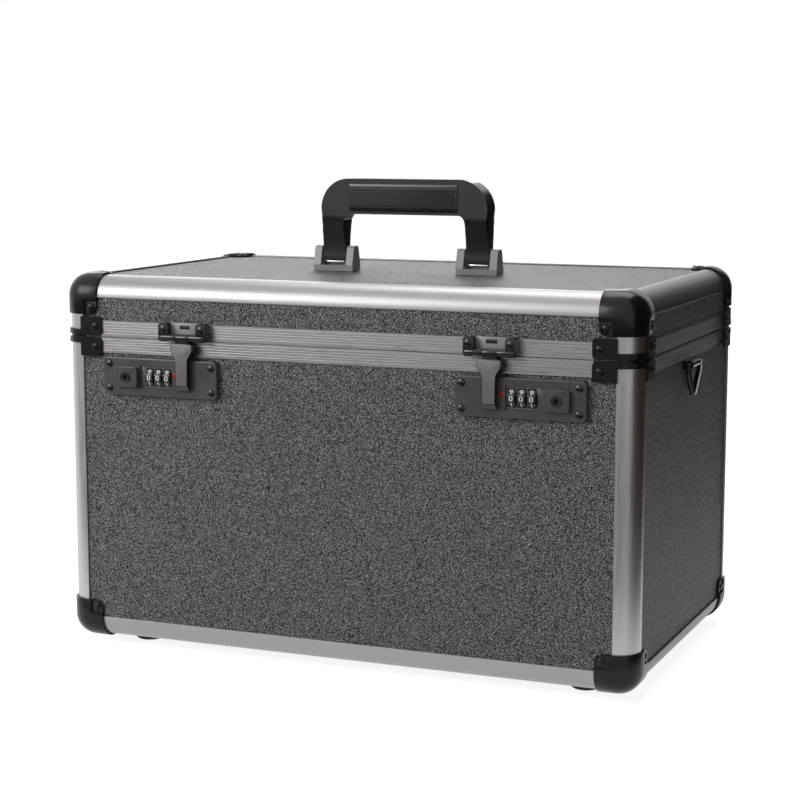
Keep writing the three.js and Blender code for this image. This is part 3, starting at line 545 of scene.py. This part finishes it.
def corner_caps():
    pattern = corner_cap()
    for owner, level, up in (("body", "base", -1), ("lid", "top", 1)):
        for side in sides:
            for end in ends:
                mesh = pattern.copy()
                place = corner_place(side, end, level, up)
                mesh.transform(place)
                if place.determinant() < 0:
                    mesh.flip_normals()
                name = f"{owner}_ball_corner_{end}_{side}"
                add_piece(name, shade(mesh), "corner_black", owner, f"{owner}_corner_{end}_{side}")


corner_caps()


def add_rivet(bm, centre, outwards, scale=1.0):
    profile = [(radius * scale, height * scale) for radius, height in rivet_profile]
    add_lathe(bm, profile, centre, outwards)


def node_centre(name):
    low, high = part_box(name)
    return (low + high) / 2


def rim_plate_rivets():
    """One rivet on each face of the plates round the corners of the rims."""
    from_corner = 29 * mm
    from_seam = 8 * mm
    for owner, up in (("body", -1), ("lid", 1)):
        bm = bmesh.new()
        height = seam_middle + up * from_seam
        for side, x in sides.items():
            for end, y in ends.items():
                on_front = (face[side] - x * from_corner, face[end] + y * rivet_lift, height)
                on_side = (face[side] + x * rivet_lift, face[end] - y * from_corner, height)
                add_rivet(bm, on_front, (0, y, 0))
                add_rivet(bm, on_side, (x, 0, 0))
        add_piece(f"{owner}_rim_plate_rivets", to_mesh("rim_plate_rivets", bm), "corner_black", owner)


rim_plate_rivets()


lock_face = 3.5 * mm
key_block_face = 7 * mm


def lock_centre(side):
    """The middle of a lock plate on the front face of the body."""
    low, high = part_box(f"lock_case_{side}")
    return Vector(((low.x + high.x) / 2, face["front"], node_centre(f"dial_{side}_2").z))


def lock_rivets(side):
    """A rivet in each corner of the plate; the hasp's end has its pair further out."""
    hasp_end, key_end, level = -45 * mm, 44.5 * mm, 9.5 * mm
    bm = bmesh.new()
    middle = lock_centre(side)
    for u in (hasp_end, key_end):
        for v in (-level, level):
            place = middle + Vector((sides[side] * u, -lock_face, v))
            add_rivet(bm, place, (0, -1, 0))
    add_piece(f"lock_rivets_{side}", to_mesh("lock_rivets", bm), "rivet_black", "body")


def recess_plate(side):
    """Lighter floor of the dial recess, with a slot for each dial."""
    bm = bmesh.new()
    middle = lock_centre(side)
    depth = 2 * mm
    thickness = 0.15 * mm
    half_height = 8.4 * mm
    slot_half = 3.5 * mm
    slot_height = 6.9 * mm
    hasp_edge, key_edge = -10.9 * mm, 17 * mm
    bevel = 0.05 * mm
    centres = sorted(node_centre(f"dial_{side}_{i}").x for i in (1, 2, 3))
    edges = sorted(middle.x + sides[side] * edge for edge in (hasp_edge, key_edge))
    front = face["front"] - depth - thickness
    back = face["front"] - depth + 0.02 * mm
    stops = [edges[0]]
    for x in centres:
        stops += [x - slot_half, x + slot_half]
    stops.append(edges[1])
    for x0, x1 in zip(stops[::2], stops[1::2]):
        section = rectangle(x0, x1, middle.z - half_height, middle.z + half_height)
        add_prism(bm, section, 1, front, back, bevel)
    for x in centres:
        for low, high in ((-half_height, -slot_height), (slot_height, half_height)):
            section = rectangle(x - slot_half, x + slot_half, middle.z + low, middle.z + high)
            add_prism(bm, section, 1, front, back, bevel)
    add_piece(f"recess_plate_{side}", to_mesh("recess_plate", bm), "recess_grey", "body")


def red_window(side):
    """A small red mark between the hasp and the dials."""
    from_middle, above = 13.8 * mm, 2.3 * mm
    half_width, half_height, corner = 1.5 * mm, 2.2 * mm, 0.4 * mm
    proud, sunk = 0.12 * mm, 0.2 * mm
    bm = bmesh.new()
    middle = lock_centre(side)
    x = middle.x - sides[side] * from_middle
    z = middle.z + above
    plate = face["front"] - lock_face
    section = rounded_rectangle(x - half_width, x + half_width, z - half_height, z + half_height, corner, 3)
    add_prism(bm, section, 1, plate - proud, plate + sunk, 0.05 * mm)
    add_piece(f"red_window_{side}", to_mesh("red_window", bm), "window_red", "body")


def key_ring(side):
    """A raised ring round the keyhole, and a black dot in a corner of the key block as painted shade for a
    small dimple.
    """
    bm = bmesh.new()
    centre = node_centre(f"key_plug_{side}")
    centre.z = lock_centre(side).z
    centre.y = face["front"] - key_block_face
    steps = ((3.1, -0.2), (3.1, 0.75), (3.4, 0.95), (3.9, 0.95), (4.4, 0.6), (4.5, -0.2))
    profile = [(radius * mm, height * mm) for radius, height in steps]
    add_lathe(bm, profile, centre, (0, -1, 0), 40)
    add_piece(f"key_ring_{side}", to_mesh("key_ring", bm), "keeper_black", "body")
    nodes[f"key_plug_{side}"].data.materials.clear()
    nodes[f"key_plug_{side}"].data.materials.append(looks["plug_black"])
    # A flat black dot, not a hollow: painted shade where the key block has a small dimple.
    dimple_shade = bmesh.new()
    place = centre + Vector((5.6 * mm, 0, 5 * mm))
    add_lathe(dimple_shade, [(0.75 * mm, -0.1 * mm), (0.75 * mm, 0.05 * mm), (0, 0.06 * mm)], place, (0, -1, 0), 20)
    add_piece(f"key_dimple_shade_{side}", to_mesh("key_dimple_shade", dimple_shade), "dial_black", "body")


def digit_mesh(digit, height):
    """A plain number as a thin solid, centred, lying flat."""
    curve = bpy.data.curves.new("digit", "FONT")
    curve.body = str(digit)
    curve.size = height / 0.7
    curve.extrude = 0.05 * mm
    curve.offset = 0.09 * mm
    curve.resolution_u = 6
    curve.align_x = "CENTER"
    curve.align_y = "CENTER"
    text = bpy.data.objects.new("digit", curve)
    bpy.context.scene.collection.objects.link(text)
    bpy.context.view_layer.update()
    mesh = bpy.data.meshes.new_from_object(text.evaluated_get(bpy.context.evaluated_depsgraph_get()))
    bpy.data.objects.remove(text)
    points = [v.co.copy() for v in mesh.vertices]
    middle = Vector([(min(p[i] for p in points) + max(p[i] for p in points)) / 2 for i in range(3)])
    widen = 1.2
    mesh.transform(Matrix.Diagonal((widen, 1, 1, 1)) @ Matrix.Translation(-middle))
    return mesh


def dial_digits(patterns, side, index):
    """Ten numbers round a dial, with the zero in front."""
    facet_depth = 7.75 * mm
    facet_angle = math.radians(36)
    bm = bmesh.new()
    centre = node_centre(f"dial_{side}_{index}")
    stand = Matrix.Rotation(math.radians(90), 4, "X")
    for digit, pattern in enumerate(patterns):
        mesh = pattern.copy()
        turn = Matrix.Rotation(facet_angle * digit, 4, "X")
        outwards = Matrix.Translation((0, -facet_depth, 0))
        mesh.transform(Matrix.Translation(centre) @ turn @ outwards @ stand)
        bm.from_mesh(mesh)
        bpy.data.meshes.remove(mesh)
    mesh = bpy.data.meshes.new("digits")
    bm.to_mesh(mesh)
    bm.free()
    add_piece(f"digits_{side}_{index}", mesh, "digit_white", f"dial_{side}_{index}")


def locks():
    digit_height = 3.9 * mm
    patterns = [digit_mesh(digit, digit_height) for digit in range(10)]
    for side in sides:
        lock_rivets(side)
        recess_plate(side)
        red_window(side)
        key_ring(side)
        for index in (1, 2, 3):
            dial_digits(patterns, side, index)


locks()


hasp_back = 4.8 * mm
hasp_thickness = 4.2 * mm
hasp_length = 40.6 * mm
hasp_tip = 3.8 * mm
barrel_y = face["front"] - 5.4 * mm
barrel_radius = 2.9 * mm
knuckle_half = 5.5 * mm
keeper_end_face = 7.8 * mm
keeper_face = 2.1 * mm
keeper_wall = face["front"] - 0.3 * mm
keeper_end_width = 8 * mm
rivet_sink = 0.3 * mm


def barrel_ring(z):
    """Section of the barrel, round the axis that the hasp turns on."""
    return arc(barrel_y, z, barrel_radius, 0, 350, 35)


def hasp_outline(centre, inset, low, high):
    """Outline of the hasp's blade and wings in front view, drawn in by some inset."""
    wing, blade = 9.5 * mm - inset, 5.3 * mm - inset
    shoulder, neck = -11.5 * mm, -15.4 * mm
    right = [
        (blade, low + inset),
        (blade, neck - 1.6 * mm),
        (blade + 0.5 * mm, neck),
        (wing - 0.6 * mm, shoulder + 0.4 * mm),
        (wing, shoulder + 1.8 * mm),
        (wing, high - inset - 0.8 * mm),
        (wing - 0.8 * mm, high - inset),
    ]
    left = [(-x, z) for x, z in reversed(right)]
    return [(centre.x + x, centre.z + z) for x, z in right + left]


def hasp_channel(centre, front, half_width):
    """The black channel behind the blade, with its lower end cut to a slope."""
    channel = bmesh.new()
    outline = hasp_outline(centre, 0, -hasp_length, -4.4 * mm)
    add_prism(channel, outline, 1, front + 0.35 * mm, front + hasp_thickness, 0.3 * mm)
    tool = bmesh.new()
    base = centre.z - hasp_length
    section = [
        (front - 1 * mm, base + hasp_tip),
        (front + 0.3 * mm, base + hasp_tip),
        (front + 2.3 * mm, base - 0.1 * mm),
        (front + 2.3 * mm, base - 1 * mm),
        (front - 1 * mm, base - 1 * mm),
    ]
    add_prism(tool, section, 0, centre.x - half_width - 1 * mm, centre.x + half_width + 1 * mm)
    cut = combine(loose("channel", channel), [loose("tool", tool)], "DIFFERENCE")
    bm = bmesh.new()
    bm.from_mesh(cut.data)
    bpy.data.objects.remove(cut)
    return bm


def add_knuckle(bm, centre):
    """The hasp's part of the barrel, and the neck that joins it to the channel."""
    low, high = centre.x - knuckle_half, centre.x + knuckle_half
    add_prism(bm, barrel_ring(centre.z), 0, low, high, 0.25 * mm)
    drop = 5.4 * mm
    front = barrel_y - barrel_radius + 0.2 * mm
    back = face["front"] - hasp_back
    neck = [(front, centre.z), (front, centre.z - drop), (back, centre.z - drop), (back, centre.z)]
    add_prism(bm, neck, 0, low + 0.2 * mm, high - 0.2 * mm)


def add_staple(bm, side, x):
    """The loop behind the blade that the bolt goes through."""
    middle = lock_centre(side).z
    base = face["front"] - hasp_back
    tip = base + 4.3 * mm
    outer, inner, half = 3.5 * mm, 1.9 * mm, 1.2 * mm
    arms = [(base - 0.3 * mm, tip, -outer, -inner), (base - 0.3 * mm, tip, inner, outer)]
    for y0, y1, low, high in [*arms, (tip - 1 * mm, tip, -outer, outer)]:
        add_prism(bm, rectangle(y0, y1, middle + low, middle + high), 0, x - half, x + half, 0.15 * mm)


def hasp_piece(side):
    """A grey blade plate on a black channel with a knuckle, and a staple behind it."""
    body = f"hasp_{side}"
    low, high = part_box(body)
    centre = Vector(((low.x + high.x) / 2, 0, high.z - barrel_radius))
    front = face["front"] - hasp_back - hasp_thickness
    bm = hasp_channel(centre, front, (high.x - low.x) / 2)
    add_knuckle(bm, centre)
    add_piece(f"hasp_channel_{side}", to_mesh("channel", bm), "keeper_black", body, body)
    plate = bmesh.new()
    outline = hasp_outline(centre, 0.5 * mm, hasp_tip - hasp_length - 0.4 * mm, -4.5 * mm)
    add_prism(plate, outline, 1, front, front + 1 * mm, 0.2 * mm)
    add_piece(f"hasp_plate_{side}", to_mesh("plate", plate), "hasp_grey", body)
    staple = bmesh.new()
    add_staple(staple, side, centre.x)
    add_piece(f"hasp_staple_{side}", to_mesh("staple", staple), "lock_steel", body)


def keeper_frame(x, z, half, low, high):
    """Both end blocks with their barrels and webs, and the rivets on them."""
    end_width = keeper_end_width
    bm = bmesh.new()
    rivets = bmesh.new()
    for way in (-1, 1):
        edges = sorted((x + way * (half - end_width), x + way * half))
        section = rounded_rectangle(*edges, low, high, 1.4 * mm, 5)
        add_prism(bm, section, 1, face["front"] - keeper_end_face, keeper_wall, 0.7 * mm)
        run = sorted((x + way * (knuckle_half + 0.3 * mm), x + way * (half - 1 * mm)))
        add_prism(bm, barrel_ring(z), 0, *run, 0.25 * mm)
        top = z + 1.5 * mm
        web = [(barrel_y, low), (keeper_wall, low), (keeper_wall, top), (barrel_y, top)]
        add_prism(bm, web, 0, *run)
        rivet_y = face["front"] - keeper_end_face + rivet_sink
        add_rivet(rivets, (x + way * (half - end_width / 2), rivet_y, high - 4.6 * mm), (0, -1, 0))
    return bm, rivets


def keeper_piece(side):
    """The black frame that the hasp hangs from, with its pin and recessed plate."""
    low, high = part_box(f"keeper_{side}")
    hasp_low, hasp_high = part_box(f"hasp_{side}")
    x = (hasp_low.x + hasp_high.x) / 2
    z = hasp_high.z - barrel_radius
    half = (high.x - low.x) / 2
    bm, rivets = keeper_frame(x, z, half, low.z, high.z)
    add_piece(f"keeper_frame_{side}", to_mesh("keeper", bm), "keeper_black", "lid", f"keeper_{side}")
    add_piece(f"keeper_rivets_{side}", to_mesh("rivets", rivets), "rivet_black", "lid")
    plate = bmesh.new()
    inner = half - keeper_end_width + 0.5 * mm
    section = rectangle(x - inner, x + inner, low.z + 0.1 * mm, high.z - 0.1 * mm)
    add_prism(plate, section, 1, face["front"] - keeper_face, keeper_wall, 0.2 * mm)
    add_piece(f"keeper_plate_{side}", to_mesh("plate", plate), "plate_grey", "lid")
    # The slot is a thin black patch on the plate, not an opening: painted shade for the inside of the slot.
    slot = bmesh.new()
    slot_z, slot_half, slot_rise = z + 7.9 * mm, 4.4 * mm, 1.5 * mm
    edges = (x - slot_half, x + slot_half, slot_z - slot_rise, slot_z + slot_rise)
    section = rounded_rectangle(*edges, 0.3 * mm, 3)
    add_prism(slot, section, 1, face["front"] - keeper_face - 0.1 * mm, keeper_wall, 0.05 * mm)
    add_piece(f"keeper_slot_shade_{side}", to_mesh("slot", slot), "dial_black", "lid")
    pin = bmesh.new()
    ring = arc(barrel_y, z, 1.2 * mm, 0, 345, 23)
    add_prism(pin, ring, 0, x - half + 1.5 * mm, x + half - 1.5 * mm)
    add_piece(f"keeper_pin_{side}", to_mesh("pin", pin), "lock_steel", "lid")


for side in sides:
    hasp_piece(side)
    keeper_piece(side)


handle_half = 72 * mm
handle_leg = 19.4 * mm
handle_top = 67.7 * mm
handle_under = 39.7 * mm
handle_half_depth = 9 * mm
pivot_lift = 6.3 * mm
leg_gap = 4 * mm
grip_half = 46.5 * mm
grip_half_depth = 10.5 * mm
grip_face = grip_half_depth - 0.5 * mm
leg_middle = handle_half - handle_leg / 2


def handle_outline():
    """The bow in front view, from the axis that it folds about."""
    inner = handle_half - handle_leg
    outer_round, inner_round = 24 * mm, 7 * mm
    return [
        (handle_half, leg_gap),
        *arc(handle_half - outer_round, handle_top - outer_round, outer_round, 0, 90, 20),
        *arc(outer_round - handle_half, handle_top - outer_round, outer_round, 90, 180, 20),
        (-handle_half, leg_gap),
        (-inner, leg_gap),
        *arc(inner_round - inner, handle_under - inner_round, inner_round, 180, 90, 10),
        *arc(inner - inner_round, handle_under - inner_round, inner_round, 90, 0, 10),
        (inner, leg_gap),
    ]


def handle_taper():
    """Side view of the bow: slim legs that swell into the grip."""
    slim, straight, flare = 4.5 * mm, 8 * mm, 38 * mm
    right = [(slim, 0)]
    for i in range(17):
        t = i / 16
        ease = t * t * (3 - 2 * t)
        right.append((slim + (handle_half_depth - slim) * ease, straight + (flare - straight) * t))
    right.append((handle_half_depth, handle_top + 1 * mm))
    return right + [(-y, z) for y, z in reversed(right)]


def handle_bow():
    """The bow cut to its side view, with the grip block and the necks round the pins."""
    bow = bmesh.new()
    add_prism(bow, handle_outline(), 1, -handle_half_depth, handle_half_depth)
    rims = [e for e in bow.edges if abs(e.verts[0].co.y - e.verts[1].co.y) < 0.01 * mm]
    bmesh.ops.bevel(bow, geom=rims, offset=4.2 * mm, segments=3, affect="EDGES", profile=0.5)
    taper = bmesh.new()
    add_prism(taper, handle_taper(), 0, -handle_half - 1 * mm, handle_half + 1 * mm)
    shaped = combine(loose("bow", bow), [loose("taper", taper)], "INTERSECT")
    bm = bmesh.new()
    bm.from_mesh(shaped.data)
    bpy.data.objects.remove(shaped)
    drop = 0.8 * mm
    grip = rounded_rectangle(-grip_face, grip_face, handle_under - drop, handle_top - drop, 5.6 * mm, 10)
    add_prism(bm, grip, 0, -grip_half, grip_half, 0.8 * mm)
    neck_half_depth, neck_half_width = 3.3 * mm, 8.2 * mm
    for middle in (-leg_middle, leg_middle):
        neck = rounded_rectangle(-neck_half_depth, neck_half_depth, 0.4 * mm, 7 * mm, 0.6 * mm, 3)
        add_prism(bm, neck, 0, middle - neck_half_width, middle + neck_half_width)
    return bm


def grip_ribs():
    """Ribs along both faces of the grip."""
    bm = bmesh.new()
    low, high, count = handle_under + 6.5 * mm, handle_top - 8 * mm, 8
    pitch = (high - low) / count
    half_height = pitch * 0.42
    run = grip_half - 1.6 * mm
    for side in (-1, 1):
        for i in range(count):
            z = low + (i + 0.5) * pitch
            edges = sorted((side * (grip_face - 0.6 * mm), side * (grip_half_depth - 0.08 * mm)))
            section = rounded_rectangle(*edges, z - half_height, z + half_height, 0.35 * mm, 3)
            add_prism(bm, section, 0, -run, run, 0.2 * mm)
    return bm


def handle_sleeves():
    """Steel sleeves on the pins that the handle folds about."""
    bm = bmesh.new()
    ring = arc(0, 0, 3 * mm, 0, 350, 35)
    half_width = 7.9 * mm
    for middle in (-leg_middle, leg_middle):
        add_prism(bm, ring, 0, middle - half_width, middle + half_width, 0.3 * mm)
    return bm


def carry_handle():
    """The handle's pieces, made round its axis and then moved to the lid."""
    pieces = [
        ("handle_bow", handle_bow(), "handle_black", ["carry_handle"]),
        ("handle_ribs", grip_ribs(), "rib_black", []),
        ("handle_sleeves", handle_sleeves(), "bright_steel", []),
    ]
    for name, bm, look, replaced in pieces:
        mesh = to_mesh(name, bm)
        mesh.transform(Matrix.Translation((0, middle_y, face["top"] + pivot_lift)))
        add_piece(name, mesh, look, "carry_handle", *replaced)


carry_handle()


def strap_rings():
    """Flat black rings with straight sides that draw in to a narrow lower end."""
    outer_half = [(20, 1.6), (20, -7), (5.4, -23.6), (4.2, -24.4)]
    inner_half = [(15.2, -1.2), (15.2, -5.6), (2.6, -19.6)]
    half = 1.6 * mm
    for side in sides:
        low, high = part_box(f"strap_ring_{side}")
        x = (low.x + high.x) / 2
        axis = high.z - half
        outer, inner = (
            [(middle_y + y * mm, axis + z * mm) for y, z in [*points, *((-y, z) for y, z in points[::-1])]]
            for points in (outer_half, inner_half)
        )
        band = bmesh.new()
        add_prism(band, outer, 0, x - half, x + half, 0.6 * mm)
        hole = bmesh.new()
        add_prism(hole, inner, 0, x - 2 * half, x + 2 * half)
        ring = combine(loose("ring", band), [loose("hole", hole)], "DIFFERENCE")
        bm = bmesh.new()
        bm.from_mesh(ring.data)
        bpy.data.objects.remove(ring)
        body = f"strap_ring_{side}"
        add_piece(f"ring_{side}", to_mesh("ring", bm), "strap_black", body, body)


strap_rings()


def hinge_rivets():
    """Three small rivets on each leaf of the hinges."""
    spacing = 17 * mm
    from_seam = 7.4 * mm
    scale = 0.7
    for side in sides:
        x = node_centre(f"hinge_body_leaf_{side}").x
        for owner, up in (("body", -1), ("lid", 1)):
            bm = bmesh.new()
            for way in (-1, 0, 1):
                place = (x + way * spacing, face["rear"] + rivet_lift, seam_middle + up * from_seam)
                add_rivet(bm, place, (0, 1, 0), scale)
            add_piece(f"{owner}_hinge_rivets_{side}", to_mesh("rivets", bm), "rivet_black", owner)


hinge_rivets()


def seam_liners():
    """Dark strips round each corner of the rims, in the gap between the two plates: painted shade that
    stands for the shadow in the gap.
    """
    reach, lift, sink, height = 34 * mm, 0.25 * mm, 0.4 * mm, 1.2 * mm
    outer = [
        (reach, -lift),
        *arc(rail_radius, rail_radius, rail_radius + lift, 270, 180, 12),
        (-lift, reach),
        (sink, reach),
        *arc(rail_radius, rail_radius, rail_radius - sink, 180, 270, 12),
        (reach, sink),
    ]
    levels = {"body": (body_top - height, body_top), "lid": (lid_bottom, lid_bottom + height)}
    for owner, (low, high) in levels.items():
        bm = bmesh.new()
        for side, x in sides.items():
            for end, y in ends.items():
                add_prism(bm, from_faces(outer, face[side], x, face[end], y), 2, low, high)
        # The strips are painted shade: they hide the bright rim that the gap would show.
        add_piece(f"{owner}_seam_liners", to_mesh("gap_shade_strips", bm), "corner_black", owner)


seam_liners()


floor_glow = 0.88


def seen_directly(tree):
    """1 for rays from the camera, a mirror or a clear part, and 0 for soft light."""
    path = tree.nodes.new("ShaderNodeLightPath")
    rays = path.outputs["Is Camera Ray"]
    for kind in ("Is Glossy Ray", "Is Transmission Ray"):
        either = tree.nodes.new("ShaderNodeMath")
        either.operation = "MAXIMUM"
        tree.links.new(rays, either.inputs[0])
        tree.links.new(path.outputs[kind], either.inputs[1])
        rays = either.outputs["Value"]
    return rays


def floor_look():
    """White paper that stays white to the edge of the picture and still takes a shadow."""
    material = new_material("floor_white", (0.45, 0.45, 0.45), 0.9, specular=0.1)
    shader_of(material).inputs["Emission Color"].default_value = (1, 1, 1, 1)
    glow = material.node_tree.nodes.new("ShaderNodeMath")
    glow.operation = "MULTIPLY"
    glow.inputs[1].default_value = floor_glow
    link(material, seen_directly(material.node_tree), glow.inputs[0])
    link(material, glow.outputs["Value"], shader_of(material).inputs["Emission Strength"])
    return material


def floor():
    """A plain white floor under the feet."""
    half = 20
    mesh = bpy.data.meshes.new("floor")
    corners = [(x, y, 0) for x, y in rectangle(-half, half, -half, half)]
    mesh.from_pydata(corners, [], [(0, 1, 2, 3)])
    plane = bpy.data.objects.new("floor", mesh)
    plane.location.z = cad_box[0][2] - 0.1 * mm
    bpy.context.scene.collection.objects.link(plane)
    mesh.materials.append(floor_look())


def white_backdrop():
    """A world that is white to the camera and in the metal, and a soft fill elsewhere."""
    fill_strength = 0.3
    world = bpy.data.worlds.new("studio")
    world.use_nodes = True
    bpy.context.scene.world = world
    tree = world.node_tree
    fill = tree.nodes["Background"]
    fill.inputs["Color"].default_value = (1, 1, 1, 1)
    fill.inputs["Strength"].default_value = fill_strength
    seen = tree.nodes.new("ShaderNodeBackground")
    seen.inputs["Color"].default_value = (1, 1, 1, 1)
    seen.inputs["Strength"].default_value = 1.0
    mix = tree.nodes.new("ShaderNodeMixShader")
    tree.links.new(seen_directly(tree), mix.inputs["Fac"])
    tree.links.new(fill.outputs["Background"], mix.inputs[1])
    tree.links.new(seen.outputs["Background"], mix.inputs[2])
    tree.links.new(mix.outputs["Shader"], tree.nodes["World Output"].inputs["Surface"])


def dark_card(name, corners):
    """A dark card, not seen by the camera: a gap in the white that the metal shows."""
    mesh = bpy.data.meshes.new(name)
    mesh.from_pydata(corners, [], [(0, 1, 2, 3)])
    card = bpy.data.objects.new(name, mesh)
    bpy.context.scene.collection.objects.link(card)
    mesh.materials.append(new_material(name, (0.05, 0.035, 0.03), 0.9, specular=0.0))
    card.visible_camera = False
    return card


def dark_cards():
    """One card stands on the right. Two lie on the floor, seen only in glossy surfaces."""
    left, right, front, rear = -2.5, 1.0, -3.0, 7.0
    standing_front, standing_height = -0.6, 3.0
    gap, rise = 0.2, 2 * mm
    wall = rectangle(standing_front, rear, 0, standing_height)
    dark_card("card_right", [(right, y, z) for y, z in wall])
    lying = {
        "card_front": rectangle(left, right, front, face["front"] - gap),
        "card_side": rectangle(face["right"] + gap, right, face["front"] - gap, rear),
    }
    for name, outline in lying.items():
        card = dark_card(name, [(x, y, rise) for x, y in outline])
        card.visible_diffuse = False
        card.visible_shadow = False


def area_light(name, place, size, watts):
    """A rectangular lamp that points at the middle of the case."""
    data = bpy.data.lights.new(name, "AREA")
    data.shape = "RECTANGLE"
    data.size, data.size_y = size
    data.energy = watts
    light = bpy.data.objects.new(name, data)
    direction = Vector((0, 0, 0.15)) - Vector(place)
    turn = direction.to_track_quat("-Z", "Y").to_matrix().to_4x4()
    light.matrix_world = Matrix.Translation(place) @ turn
    bpy.context.scene.collection.objects.link(light)


def studio():
    bpy.context.scene.view_settings.view_transform = "Standard"
    floor()
    white_backdrop()
    dark_cards()
    area_light("key_left", (-1.2, -1.6, 1.1), (1.0, 1.0), 22)
    area_light("overhead", (0, 0.5, 1.9), (1.4, 1.0), 19)
    area_light("rear", (-1.7, 3.0, 1.7), (2.4, 1.2), 22)


studio()
